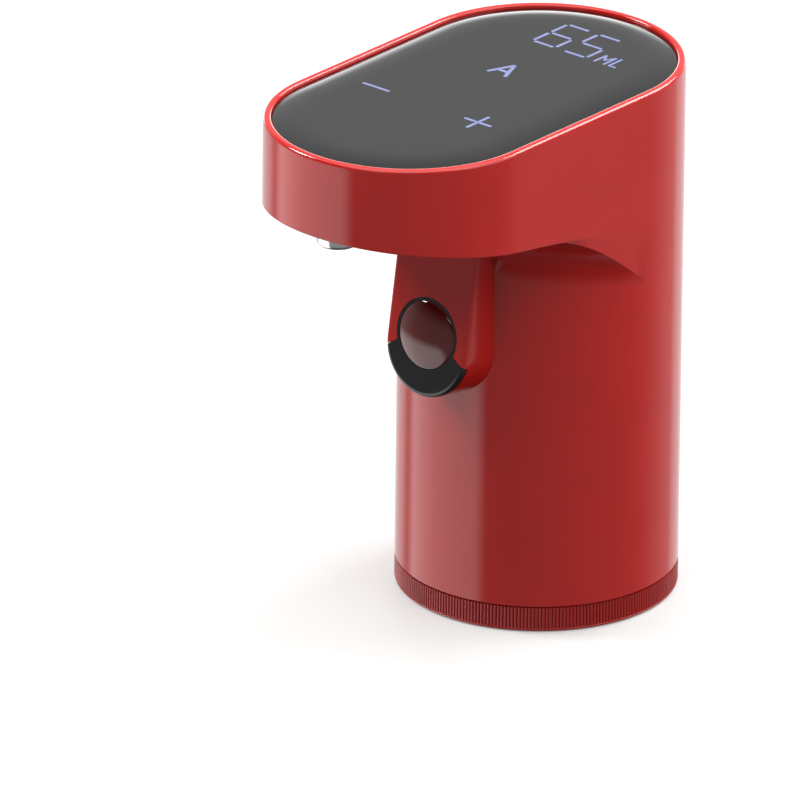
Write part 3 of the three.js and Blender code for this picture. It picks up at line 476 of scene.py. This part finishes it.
def underside_path(centre_y, dx, dy, inset, samples):
    """Points from the flank's lower edge, in along the underside and down its fillet to the column."""
    column = BODY_RADIUS - inset
    start = Vector((column * dx, centre_y + column * dy))
    far = start.length
    along = start.normalized()
    fillet_centre = BODY_RADIUS + HEAD_FILLET
    fillet = HEAD_FILLET + inset
    flat = max(far - fillet_centre, 0.0)
    first = math.acos(max(min((far - fillet_centre) / fillet, 0.0), -1.0))
    turn = max(math.pi - first, 0.0)
    length = flat + turn * fillet
    points = []
    for k in range(samples + 1):
        run = length * k / samples
        if run <= flat:
            radius = far - run
            height = FILLET_LEVEL + fillet
        else:
            a = first + (run - flat) / fillet
            radius = max(fillet_centre + fillet * math.cos(a), column)
            height = FILLET_LEVEL + fillet * math.sin(a)
        spot = along * radius
        points.append(Vector((spot.x, spot.y, height - UNDERSIDE_RISE * spot.y)))
    return points


def shell_column(station):
    """One closed section of the shell: up the inside, over the rim, down the flank and along the underside.

    Rows close to each round keep its shading off the long faces beside it."""
    centre_y, dx, dy = station
    outer = underside_path(centre_y, dx, dy, 0, UNDERSIDE_ROWS)
    inner = underside_path(centre_y, dx, dy, WALL, UNDERSIDE_ROWS // 2)
    quarter = [math.pi / 2 * k / ROUND_STEPS for k in range(ROUND_STEPS + 1)]

    def at(inset, z):
        radius = BODY_RADIUS - inset
        return Vector((radius * dx, centre_y + radius * dy, z))

    def upright(foot, low, high, steps, first=0):
        return [Vector((foot.x, foot.y, low + (high - low) * k / steps)) for k in range(first, steps + 1)]

    column = upright(inner[-1], BODY_BOTTOM, inner[-1].z, 4)
    column += reversed(inner[:-1])
    pocket = BODY_RADIUS - POCKET_RADIUS
    column += [at(WALL, LEDGE), at(pocket, LEDGE)]
    column += [at(pocket - LIP_ROUND * (1 - math.cos(a)), RIM_TOP - LIP_ROUND * (1 - math.sin(a)))
               for a in quarter]
    column += [at(RIM_ROUND * (1 - math.sin(a)), RIM_TOP - RIM_ROUND * (1 - math.cos(a))) for a in quarter]

    corner = outer[0]
    step = outer[1] - corner
    edge = min(HEAD_EDGE, step.length * 0.45)
    hold = edge * 0.3
    flank_top = RIM_TOP - RIM_ROUND - 0.2
    flank_foot = corner.z + edge + hold
    column += [at(0, flank_top + (flank_foot - flank_top) * share) for share in (0, 0.3, 0.65, 1)]
    inwards = step.normalized() if step.length > 0.0001 else Vector((0, 0, 0))
    after = corner + inwards * edge
    column += bend(corner + Vector((0, 0, edge)), corner, after, ROUND_STEPS)
    column.append(after + inwards * hold)
    column += outer[1:]

    foot = outer[-1]
    foot_wall = BODY_BOTTOM + FOOT_ROUND
    column += upright(foot, foot.z, foot_wall + 0.15, 7, first=1)
    column.append(Vector((foot.x, foot.y, foot_wall)))
    column.append(Vector((foot.x, foot.y, BODY_BOTTOM)) - Vector((foot.x, foot.y, 0)).normalized() * FOOT_ROUND)
    return column


def tongue_plan(half, top, steps=40):
    """The sensor tongue's outline on its face: straight sides over a round lower end."""
    return [(half, top), (-half, top)] + arc_points(half, math.pi, math.pi, steps, (0, TONGUE_LOW))


def tongue_solid(name):
    """The whole tongue with its rounded edge, reaching back into the column."""
    top, depth = 26, 16
    levels = [(0, -depth), (0, -TONGUE_EDGE - 0.2)]
    for k in range(ROUND_STEPS + 1):
        a = math.pi / 2 * k / ROUND_STEPS
        levels.append((TONGUE_EDGE * (1 - math.cos(a)), -TONGUE_EDGE * (1 - math.sin(a))))
    levels.append((TONGUE_EDGE + 0.4, 0))

    def outline(inset):
        share = (TONGUE_HALF - inset) / TONGUE_HALF
        return [(x * share, y if y > TONGUE_LOW else TONGUE_LOW + (y - TONGUE_LOW) * share)
                for x, y in tongue_plan(TONGUE_HALF, top - inset)]

    return stack(name, levels, outline, face_place)


def bezel_blank(name, grow, depth):
    """The room of the black trim: a ring about the lens that widens into a chin below it."""
    ring_outer = LENS_RADIUS + 0.7 + grow
    chin_outer = TONGUE_HALF + 2
    meet = math.asin((CHIN_TOP + 3 + grow) / ring_outer)
    start = math.asin((CHIN_TOP + grow - TONGUE_LOW) / chin_outer)
    steps = 48
    plan = arc_points(ring_outer, meet, math.pi - 2 * meet, steps)
    plan += arc_points(chin_outer, math.pi - start, math.pi + 2 * start, steps, (0, TONGUE_LOW))
    return stack(name, [(0, -depth), (0, 4)], lambda inset: plan, face_place)


def face_disc(name, radius, back, front, steps=96):
    """A round plug about the lens, for cutting, between two heights over the face."""
    plan = arc_points(radius, 0, 2 * math.pi, steps)[:-1]
    return stack(name, [(0, back), (0, front)], lambda inset: plan, face_place)


def body_shell():
    """Column, head and rim in one skin, joined to the tongue, with the openings cut."""
    shell = mesh_object("body_shell_skin", *skin([shell_column(s) for s in plan_stations()]))
    cut(shell, tongue_solid("tongue_tool"), "UNION")
    trim_room = TRIM_DEPTH + 0.1
    hollow = tongue_plan(TONGUE_HALF - TONGUE_WALL, 15, 24)
    levels = [(0, -26), (0, -TONGUE_WALL - trim_room)]
    cut(shell, stack("pocket_tool", levels, lambda inset: hollow, face_place))
    cut(shell, face_disc("window_tool", LENS_RADIUS - 0.8, -10, 2))
    cut(shell, bezel_blank("trim_tool", TRIM_GAP, trim_room))
    hole = NOZZLE_RADIUS + 0.2
    low, high = nozzle_low.z - 3, 103
    outline = [(0, low), (hole, low), (hole, high), (0, high)]
    cut(shell, lathe("nozzle_tool", outline, 64, (0, NOZZLE_Y), closed=False))
    cut(shell, stack("port_tool", [(0.15, BODY_RADIUS - 6), (0.15, BODY_RADIUS + 4)], port_plan, port_place))
    return shell


# ---------- charging port ----------
# From the port's own plane into the frame, with its mouth towards the back.
port_place = Matrix.Translation((0, 0, PORT_HEIGHT)) @ Matrix.Rotation(-math.pi / 2, 4, "X")


def port_plan(grow, steps=14):
    """The port's outline: two half rounds joined by straight sides."""
    radius = PORT_HALF + grow
    right = arc_points(radius, -math.pi / 2, math.pi, steps, (PORT_SIDE, 0))
    return right + arc_points(radius, math.pi / 2, math.pi, steps, (-PORT_SIDE, 0))


def charge_port():
    """The drawn steel receptacle, with a small round at its mouth."""
    back, mouth = port_low.y, port_high.y
    lip, sheet, depth = 0.12, 0.36, 6.4
    levels = [
        (0, back), (0, mouth - lip), (-lip, mouth),
        (-0.3, mouth), (-sheet, mouth - 0.1), (-sheet, mouth - depth),
    ]
    return stack("charge_port_shell", levels, port_plan, port_place)


def charge_tongue():
    """The contact tongue that stands in the receptacle."""
    half, thick = 3.1, 0.35
    back, front = port_high.y - 6.8, port_high.y - 1.2
    outline = rounded([(-half, back), (half, back), (half, front), (-half, front)], [0, 0, 0.6, 0.6])
    levels = [(0, PORT_HEIGHT - thick), (0, PORT_HEIGHT + thick)]
    return stack("charge_port_tongue", levels, lambda inset: outline)


# ---------- touch panel ----------
def touch_glass():
    """The glass slab: flat in the middle and rolled over all round its edge."""
    foot = 0.25
    levels = [(foot, glass_low.z), (0, glass_low.z + foot)]
    edge_steps, crown_steps = 6, 16
    for k in range(edge_steps):
        a = math.pi / 2 * k / edge_steps
        levels.append((GLASS_EDGE * (1 - math.cos(a)),
                       glass_high.z - GLASS_CROWN_DROP - GLASS_EDGE * (1 - math.sin(a))))
    for k in range(crown_steps + 1):
        t = k / crown_steps
        levels.append((GLASS_EDGE + GLASS_CROWN_RUN * t, glass_high.z - GLASS_CROWN_DROP * (1 - t) ** 3))
    levels.append((GLASS_EDGE + GLASS_CROWN_RUN + 2, glass_high.z))
    return stack("touch_glass", levels, lambda inset: head_plan(GLASS_RADIUS - inset))


STROKE = 0.72
LETTER_STROKE = 0.55
KEY_LETTER_STROKE = 0.85
MARK_LIFT = 0.035           # the lit marks stand this far above the glass, so that they show
DIGIT_WIDTH = 6.1
DIGIT_HEIGHT = 11.7
DIGIT_LEVEL = 5.1           # lower edge of the read-out, along Y
DIGIT_SEGMENTS = {          # a top, c lower right, d bottom, e lower left, f upper left, g middle
    "6": "acdefg",
    "5": "acdfg",
}
UNIT_M = [(9.8, 4.8, 9.8, 9.0), (9.8, 9.0, 11.1, 6.6), (11.1, 6.6, 12.4, 9.0), (12.4, 9.0, 12.4, 4.8)]
UNIT_L = [(13.7, 9.3, 13.7, 5.0), (13.7, 5.0, 15.4, 5.0)]
MINUS_KEY = [(-18.6, -36.3, -11.6, -36.3)]
PLUS_KEY = [(9.6, -36.9, 16.6, -36.9), (13.1, -40.5, 13.1, -33.3)]
MODE_KEY = [(-3.4, -14.0, -1.0, -8.1), (1.3, -14.0, -1.0, -8.1), (-2.5, -11.9, 0.5, -11.9)]


def stroke(x0, y0, x1, y1, width=STROKE):
    """Plan of one thin bar between two points, with blunt pointed ends."""
    along = Vector((x1 - x0, y1 - y0)).normalized()
    side = Vector((-along.y, along.x)) * width / 2
    tip = along * width * 0.3
    a, b = Vector((x0, y0)), Vector((x1, y1))
    return [a + side, a - tip, a - side, b - side, b + tip, b + side]


def digit_strokes(digit, left):
    gap = 0.62
    bottom = DIGIT_LEVEL
    right, top = left + DIGIT_WIDTH, bottom + DIGIT_HEIGHT
    middle = bottom + DIGIT_HEIGHT / 2
    ends = {
        "a": (left + gap, top, right - gap, top),
        "c": (right, bottom + gap, right, middle - gap),
        "d": (left + gap, bottom, right - gap, bottom),
        "e": (left, bottom + gap, left, middle - gap),
        "f": (left, middle + gap, left, top - gap),
        "g": (left + gap, middle, right - gap, middle),
    }
    return [stroke(*ends[segment]) for segment in DIGIT_SEGMENTS[digit]]


def panel_marks():
    """The lit marks under the glass: a two-digit read-out with its unit, and three touch keys."""
    bars = digit_strokes("6", -7.2) + digit_strokes("5", 1.2)
    bars += [stroke(*ends, width=LETTER_STROKE) for ends in UNIT_M + UNIT_L]
    bars += [stroke(*ends) for ends in MINUS_KEY + PLUS_KEY]
    bars += [stroke(*ends, width=KEY_LETTER_STROKE) for ends in MODE_KEY]
    low, high = glass_high.z - 0.05, glass_high.z + MARK_LIFT
    points, faces = [], []
    for outline in bars:
        first = len(points)
        count = len(outline)
        points += [(p.x, p.y, low) for p in outline] + [(p.x, p.y, high) for p in outline]
        faces.append(tuple(range(first, first + count)))
        faces.append(tuple(range(first + 2 * count - 1, first + count - 1, -1)))
        for i in range(count):
            j = (i + 1) % count
            faces.append((first + i, first + j, first + count + j, first + count + i))
    return mesh_object("panel_marks", points, faces, merge=0.0001)


# ---------- sensor ----------
def lens_dome():
    """The window: a short cylinder in its seat under a shallow polished dome."""
    sphere = (LENS_RADIUS ** 2 + LENS_BULGE ** 2) / (2 * LENS_BULGE)
    chamfer = 0.15
    outline = [(0, -LENS_SEAT), (LENS_RADIUS - chamfer, -LENS_SEAT), (LENS_RADIUS, -LENS_SEAT + chamfer)]
    outline.append((LENS_RADIUS, -0.1))
    edge = LENS_RADIUS - 0.12
    rings = 22
    for i in range(rings + 1):
        r = edge * (1 - i / rings)
        outline.append((r, math.sqrt(sphere ** 2 - r ** 2) - sphere + LENS_BULGE))
    piece = lathe("lens_dome", outline, closed=False)
    piece.data.transform(Matrix.Translation(FACE_CENTRE * MM) @ Matrix.Rotation(math.pi / 2 - LEAN, 4, "X"))
    return piece


def lens_trim():
    """The black ring and chin, limited to the tongue's own outline."""
    trim = bezel_blank("lens_trim", 0.0, TRIM_DEPTH)
    cut(trim, tongue_solid("trim_limit"), "INTERSECT")
    return cut(trim, face_disc("lens_hole", LENS_RADIUS + 0.08, -4, 2))


# ---------- lock ring ----------
def ribbed(piece, material):
    """Stands fine upright ribs all round the ring, by geometry nodes, and returns it as a plain mesh."""
    rib_faces = 10
    rib_foot, rib_top = 0.65, RING_TOP - 0.1
    sunk = 0.03                 # the ribs stand this far short of the column's radius
    tree = bpy.data.node_groups.new("ring_ribs", "GeometryNodeTree")
    sizes = [
        ("Rib Count", "NodeSocketInt", RIB_COUNT),
        ("Circle Radius", "NodeSocketFloat", (BODY_RADIUS - RIB_HEIGHT - sunk) * MM),
        ("Rib Radius", "NodeSocketFloat", RIB_HEIGHT * MM),
        ("Rib Length", "NodeSocketFloat", (rib_top - rib_foot) * MM),
        ("Rib Middle", "NodeSocketFloat", (rib_top + rib_foot) / 2 * MM),
    ]
    tree.interface.new_socket("Geometry", in_out="INPUT", socket_type="NodeSocketGeometry")
    for label, kind, _ in sizes:
        tree.interface.new_socket(label, in_out="INPUT", socket_type=kind)
    tree.interface.new_socket("Geometry", in_out="OUTPUT", socket_type="NodeSocketGeometry")
    given = add_node(tree, "NodeGroupInput").outputs
    circle = add_node(tree, "GeometryNodeMeshCircle", {}, {
        "Vertices": given["Rib Count"], "Radius": given["Circle Radius"]})
    lift = add_node(tree, "ShaderNodeCombineXYZ", {}, {"Z": given["Rib Middle"]})
    raised = add_node(tree, "GeometryNodeTransform", {}, {
        "Geometry": circle.outputs["Mesh"], "Translation": lift.outputs["Vector"]})
    rib = add_node(tree, "GeometryNodeMeshCylinder", {"Vertices": rib_faces, "Side Segments": 1}, {
        "Radius": given["Rib Radius"], "Depth": given["Rib Length"]})
    copies = add_node(tree, "GeometryNodeInstanceOnPoints", {}, {
        "Points": raised.outputs["Geometry"], "Instance": rib.outputs["Mesh"]})
    real = add_node(tree, "GeometryNodeRealizeInstances", {}, {"Geometry": copies.outputs["Instances"]})
    joined = add_node(tree, "GeometryNodeJoinGeometry")
    tree.links.new(given["Geometry"], joined.inputs["Geometry"])
    tree.links.new(real.outputs["Geometry"], joined.inputs["Geometry"])
    whole = add_node(tree, "GeometryNodeRealizeInstances", {}, {"Geometry": joined.outputs["Geometry"]})
    painted = add_node(tree, "GeometryNodeSetMaterial", {"Material": material}, {
        "Geometry": whole.outputs["Geometry"]})
    add_node(tree, "NodeGroupOutput", {}, {"Geometry": painted.outputs["Geometry"]})
    ribs = piece.modifiers.new("ribs", "NODES")
    ribs.node_group = tree
    names = {item.name: item.identifier for item in tree.interface.items_tree if item.in_out == "INPUT"}
    for label, _, value in sizes:
        ribs[names[label]] = value
    return plain_mesh(piece)


def lock_ring():
    bore = 18.9
    band = BODY_RADIUS - RIB_HEIGHT - 0.12      # the ribs stand on this face
    skirt = BODY_RADIUS - 0.02                  # plain edge below the ribs
    collar_inner, collar_outer = 22.0, 23.6     # collar that goes up into the shell
    outline = rounded([
        (bore, 1.2), (bore + 1.2, 0), (BODY_RADIUS - 0.45, 0), (skirt, 0.45), (skirt, 0.7), (band, 0.85),
        (band, RING_TOP), (collar_outer, RING_TOP), (collar_outer, ring_high.z), (collar_inner, ring_high.z),
        (collar_inner, RING_TOP), (bore, RING_TOP),
    ], [0.3, 0.4, 0.3, 0.2, 0.1, 0.05, 0.1, 0.3, 0.3, 0.3, 0.2, 0.3])
    return ribbed(lathe("lock_ring_band", outline, 180), finishes["ring_red"])


# ---------- spout ----------
def spout():
    """The outlet: a thicker mouth, a stem up into its elbow and a groove for the seal."""
    stem = 4.1
    shoulder = nozzle_low.z + 3.8
    groove = nozzle_high.z - 1.9
    groove_floor = stem - 0.4
    outline = rounded([
        (NOZZLE_BORE, nozzle_low.z), (NOZZLE_RADIUS - 0.5, nozzle_low.z), (NOZZLE_RADIUS, nozzle_low.z + 0.6),
        (NOZZLE_RADIUS, shoulder), (stem, shoulder), (stem, groove), (groove_floor, groove),
        (groove_floor, groove + 1), (stem, groove + 1), (stem, nozzle_high.z), (NOZZLE_BORE, nozzle_high.z),
    ], [0.2, 0.25, 0.35, 0.1, 0.1, 0.05, 0.05, 0.05, 0.05, 0.2, 0.2])
    return lathe("spout", outline, 72, (0, NOZZLE_Y))


def o_ring(name, node, centre=(0, 0)):
    """A round seal in the place of its CAD node."""
    low, high = box_mm(node)
    wire = (high.z - low.z) / 2
    middle = (high.x - centre[0] - wire, (high.z + low.z) / 2)
    return lathe(name, arc_points(wire, 0, 2 * math.pi, 14, middle)[:-1], 72, centre)


# ---------- socket and stopper ----------
def silicone_stopper():
    """The soft plug: four ribs, each a little wider than the one below, under a flat sealing flange."""
    bore, tip_radius, neck = 5.55, 7.6, 8.8
    tip, top = stopper_low.z, stopper_high.z
    flange = NECK_RADIUS - 0.3
    flange_low = top - 2.5
    ribs = 4
    pitch = (flange_low - tip - 3) / ribs
    outline = [(bore, tip), (tip_radius, tip)]
    radii = [0.3, 0.9]
    for i in range(ribs):
        z = tip + 1.5 + i * pitch
        rib = 9.2 + 0.2 * i
        outline += [(rib - 0.9, z), (rib, z + 0.8), (rib, z + 1.8), (rib - 0.9, z + 2.6)]
        radii += [0.3, 0.5, 0.5, 0.3]
    outline += [(neck, flange_low), (flange, flange_low), (flange, top), (bore, top)]
    radii += [0.6, 0.4, 0.4, 0.2]
    return lathe("silicone_stopper", rounded(outline, radii), 84)


def stopper_core():
    """The stiff core: a barb for the wine pick-up tube, a flange, a grooved stem and a second, air channel."""
    bore, stem, core, barb, flange = 1.6, 7.2, 5.4, 2.6, 15.5
    tip = stopper_low.z + 1
    top = core_high.z - 3
    flange_low = stopper_high.z + 0.15
    flange_high = flange_low + 2.2
    groove = top - 2.6
    groove_floor = stem - 0.8
    outline = [
        (bore, tip - 6), (2.1, tip - 6), (barb, tip - 3), (2.2, tip), (core, tip), (core, flange_low),
        (flange, flange_low), (flange, flange_high), (stem, flange_high), (stem, groove), (groove_floor, groove),
        (groove_floor, groove + 1.4), (stem, groove + 1.4), (stem, top), (3, top), (3, top + 3), (bore, top + 3),
    ]
    radii = [0.15, 0.2, 0.4, 0.4, 0.4, 0.1, 0.4, 0.4, 0.6, 0.1, 0.1, 0.1, 0.1, 0.4, 0.3, 0.3, 0.2]
    piece = lathe("stopper_core_moulding", rounded(outline, radii), 72)
    channel, aside = 0.8, 4
    outline = [(0, tip - 1), (channel, tip - 1), (channel, top + 1), (0, top + 1)]
    return cut(piece, lathe("vent_tool", outline, 24, (0, aside), closed=False))


def neck_socket():
    """The cup over the bottle's neck, with a flange that fills the column and a hole for the core's stem."""
    bore, outer, stem = 19.0, 21.0, 7.5
    flange = BODY_RADIUS - WALL - 0.3
    ceiling = socket_high.z - 2.5
    outline = rounded([
        (bore, socket_low.z), (outer, socket_low.z), (outer, ceiling), (flange, ceiling),
        (flange, socket_high.z), (stem, socket_high.z), (stem, ceiling), (bore, ceiling),
    ], [0.5, 0.3, 0.5, 0.3, 0.3, 0.3, 0.3, 1.0])
    return lathe("neck_socket_moulding", outline)


def neck_grip():
    """The soft liner, with three lips that close on the bottle's foil."""
    outer, inner = grip_high.x, NECK_RADIUS + 0.3
    root = inner + 0.6
    bottom, lips = grip_low.z, 3
    pitch = (grip_high.z - bottom) / lips
    outline = [(outer, grip_high.z), (outer, bottom)]
    radii = [0.1, 0.3]
    for i in range(lips):
        z = bottom + i * pitch
        outline += [(inner, z), (inner, z + 0.8), (root, z + 1.2), (root, z + pitch)]
        radii += [0.25, 0.35, 0.2, 0.2]
    return lathe("neck_grip_lips", rounded(outline, radii))


# ---------- assembly ----------
# Faces across a small round meet at 10 degrees, so 13 keeps every larger turn of the shell crisp.
place(body_shell(), "body", "red_gloss", "body_shell", angle=13)
place(charge_port(), "body", "steel", "charge_port")
place(charge_tongue(), "body", "gloss_black")
place(touch_glass(), "body", "panel_glass", "touch_panel", angle=40)
place(panel_marks(), "body", "panel_glass", material=lit_icons())
place(lens_dome(), "body", "sensor_glass", "sensor_lens")
place(lens_trim(), "body", "gloss_black", "sensor_bezel")
place(lock_ring(), "lock_ring", "ring_red", "base_ring", angle=40)
place(spout(), "nozzle_unit", "spout_steel", "nozzle")
place(o_ring("nozzle_o_ring", "nozzle_seal", (0, NOZZLE_Y)), "nozzle_unit", "black_rubber", "nozzle_seal")
place(silicone_stopper(), "stopper_unit", "silicone", "bottle_stopper")
place(stopper_core(), "stopper_unit", "white_plastic", "stopper_core")
place(o_ring("stem_o_ring", "stem_seal"), "stopper_unit", "black_rubber", "stem_seal")
place(neck_socket(), "body", "black_plastic", "neck_socket")
place(neck_grip(), "body", "silicone", "neck_grip")

slot_of = {row["node"]: row["material_slot"] for row in frame["record"]["subparts"]}
for node, piece in frame["nodes"].items():
    piece.data.materials.clear()
    piece.data.materials.append(finishes[slot_of[node]])


# ---------- floor, light and camera ----------
def direction(azimuth, elevation):
    """A unit direction from angles in radians; azimuth 0 is in front of the spout, and it grows towards +X."""
    return Vector((
        math.sin(azimuth) * math.cos(elevation), -math.cos(azimuth) * math.cos(elevation), math.sin(elevation)))


def pale_floor():
    """A plain pale floor, just under the ring, so that no two faces share a plane."""
    half, level = 3000, -0.05
    corners = [(-half, -half, level), (half, -half, level), (half, half, level), (-half, half, level)]
    mesh = bpy.data.meshes.new("floor")
    mesh.from_pydata([Vector(p) * MM for p in corners], [], [(0, 1, 2, 3)])
    floor = bpy.data.objects.new("floor", mesh)
    bpy.context.scene.collection.objects.link(floor)
    floor.data.materials.append(finish_of("pale_floor", "#a9a9a8", 0.6, 2.0, 0.001, 0.05, 0.01, **{
        "Emission Color": (1.0, 1.0, 1.0, 1.0), "Emission Strength": 0.25}))
    floor.visible_glossy = False
    floor.visible_diffuse = False


BODY_MIDDLE = Vector((0, -20, 60))
CAMERA_AZIMUTH = math.radians(39.907)
CAMERA_ELEVATION = math.radians(23.167)
CAMERA_ROLL = math.radians(0.662)
CAMERA_DISTANCE = 5000
CAMERA_LENS = 1073.2
CAMERA_SLIDE = (-16.46, -12.25)     # from the body's middle to the point aimed at, across and up


def studio_camera():
    back = direction(CAMERA_AZIMUTH, CAMERA_ELEVATION)
    level = Vector((math.cos(CAMERA_AZIMUTH), math.sin(CAMERA_AZIMUTH), 0))
    rise = back.cross(level)
    across = level * math.cos(CAMERA_ROLL) + rise * math.sin(CAMERA_ROLL)
    up = rise * math.cos(CAMERA_ROLL) - level * math.sin(CAMERA_ROLL)
    aim = BODY_MIDDLE + across * CAMERA_SLIDE[0] + up * CAMERA_SLIDE[1]
    data = bpy.data.cameras.new("camera")
    data.lens = CAMERA_LENS
    data.sensor_width = 36
    data.clip_end = 50
    camera = bpy.data.objects.new("camera", data)
    turn = Matrix((across, up, back)).transposed().to_4x4()
    camera.matrix_world = Matrix.Translation((aim + back * CAMERA_DISTANCE) * MM) @ turn
    bpy.context.scene.collection.objects.link(camera)
    bpy.context.scene.camera = camera


def softbox(name, azimuth, elevation, distance, width, height, power):
    """A rectangular lamp aimed at the middle of the body; angles are in degrees, sizes in millimetres."""
    out = direction(math.radians(azimuth), math.radians(elevation))
    data = bpy.data.lights.new(name, "AREA")
    data.shape = "RECTANGLE"
    data.size, data.size_y = width * MM, height * MM
    data.energy = power
    lamp = bpy.data.objects.new(name, data)
    lamp.location = (BODY_MIDDLE + out * distance) * MM
    lamp.rotation_euler = out.to_track_quat("Z", "Y").to_euler()
    lamp.visible_camera = False
    bpy.context.scene.collection.objects.link(lamp)


def studio_world():
    """Soft surroundings: mid grey on the near side, white behind, and a broad white card low on the left."""
    ambient = 0.34
    world = bpy.data.worlds.new("studio")
    bpy.context.scene.world = world
    world.use_nodes = True
    tree = world.node_tree
    tree.nodes.clear()
    where = add_node(tree, "ShaderNodeTexCoord").outputs["Generated"]

    def toward(azimuth, elevation):
        """A direction in degrees; azimuth is counted from the camera's own side, to its right."""
        return direction(CAMERA_AZIMUTH + math.radians(azimuth), math.radians(elevation))

    def glow(middle, start, full, strength):
        """Light round a direction: start and full are the cosines where it begins and where it is whole."""
        along = add_node(tree, "ShaderNodeVectorMath", {"operation": "DOT_PRODUCT"}, {0: where})
        along.inputs[1].default_value = middle
        return add_node(tree, "ShaderNodeMapRange", {
            "interpolation_type": "SMOOTHSTEP",
            "From Min": start, "From Max": full, "To Min": 0.0, "To Max": strength,
        }, {"Value": along.outputs["Value"]}).outputs["Result"]

    def combine(operation, a, b):
        return add_node(tree, "ShaderNodeMath", {"operation": operation}, {0: a, 1: b}).outputs["Value"]

    up, down, far_side = (0, 0, 1), (0, 0, -1), toward(180, 0)
    behind = combine("ADD", glow(far_side, -0.1, 0.55, 0.3), glow(far_side, 0.62, 0.74, 0.4))
    card = combine("MULTIPLY", glow(toward(-86, -30), 0.76, 0.88, 1.5), glow(down, 0.2, 0.36, 1.0))
    horizon = combine("MULTIPLY", glow(toward(180, 4), 0.8, 0.95, 4.0), glow(up, 0.3, 0.12, 1.0))
    horizon = combine("MULTIPLY", horizon, glow(up, -0.3, -0.15, 1.0))
    darker = combine("ADD", glow(up, 0.05, 0.45, -0.36), glow(down, 0.45, 0.8, -0.24))
    light = combine("ADD", combine("ADD", behind, combine("ADD", card, horizon)), darker)
    total = add_node(tree, "ShaderNodeMath", {"operation": "ADD"}, {0: light})
    total.inputs[1].default_value = ambient
    sky = add_node(tree, "ShaderNodeBackground", {"Color": (1.0, 1.0, 1.0, 1.0)}, {
        "Strength": total.outputs["Value"]})
    add_node(tree, "ShaderNodeOutputWorld", {}, {"Surface": sky.outputs["Background"]})


studio_camera()
pale_floor()
studio_world()
softbox("key_left", -63, 40, 900, 260, 260, 7)
softbox("overhead", 50, 76, 900, 1500, 1500, 19)
softbox("fill_right", 108, 28, 1000, 900, 900, 5)
softbox("rim_back", 160, 38, 1000, 700, 360, 10)
bpy.context.scene.view_settings.view_transform = "Standard"
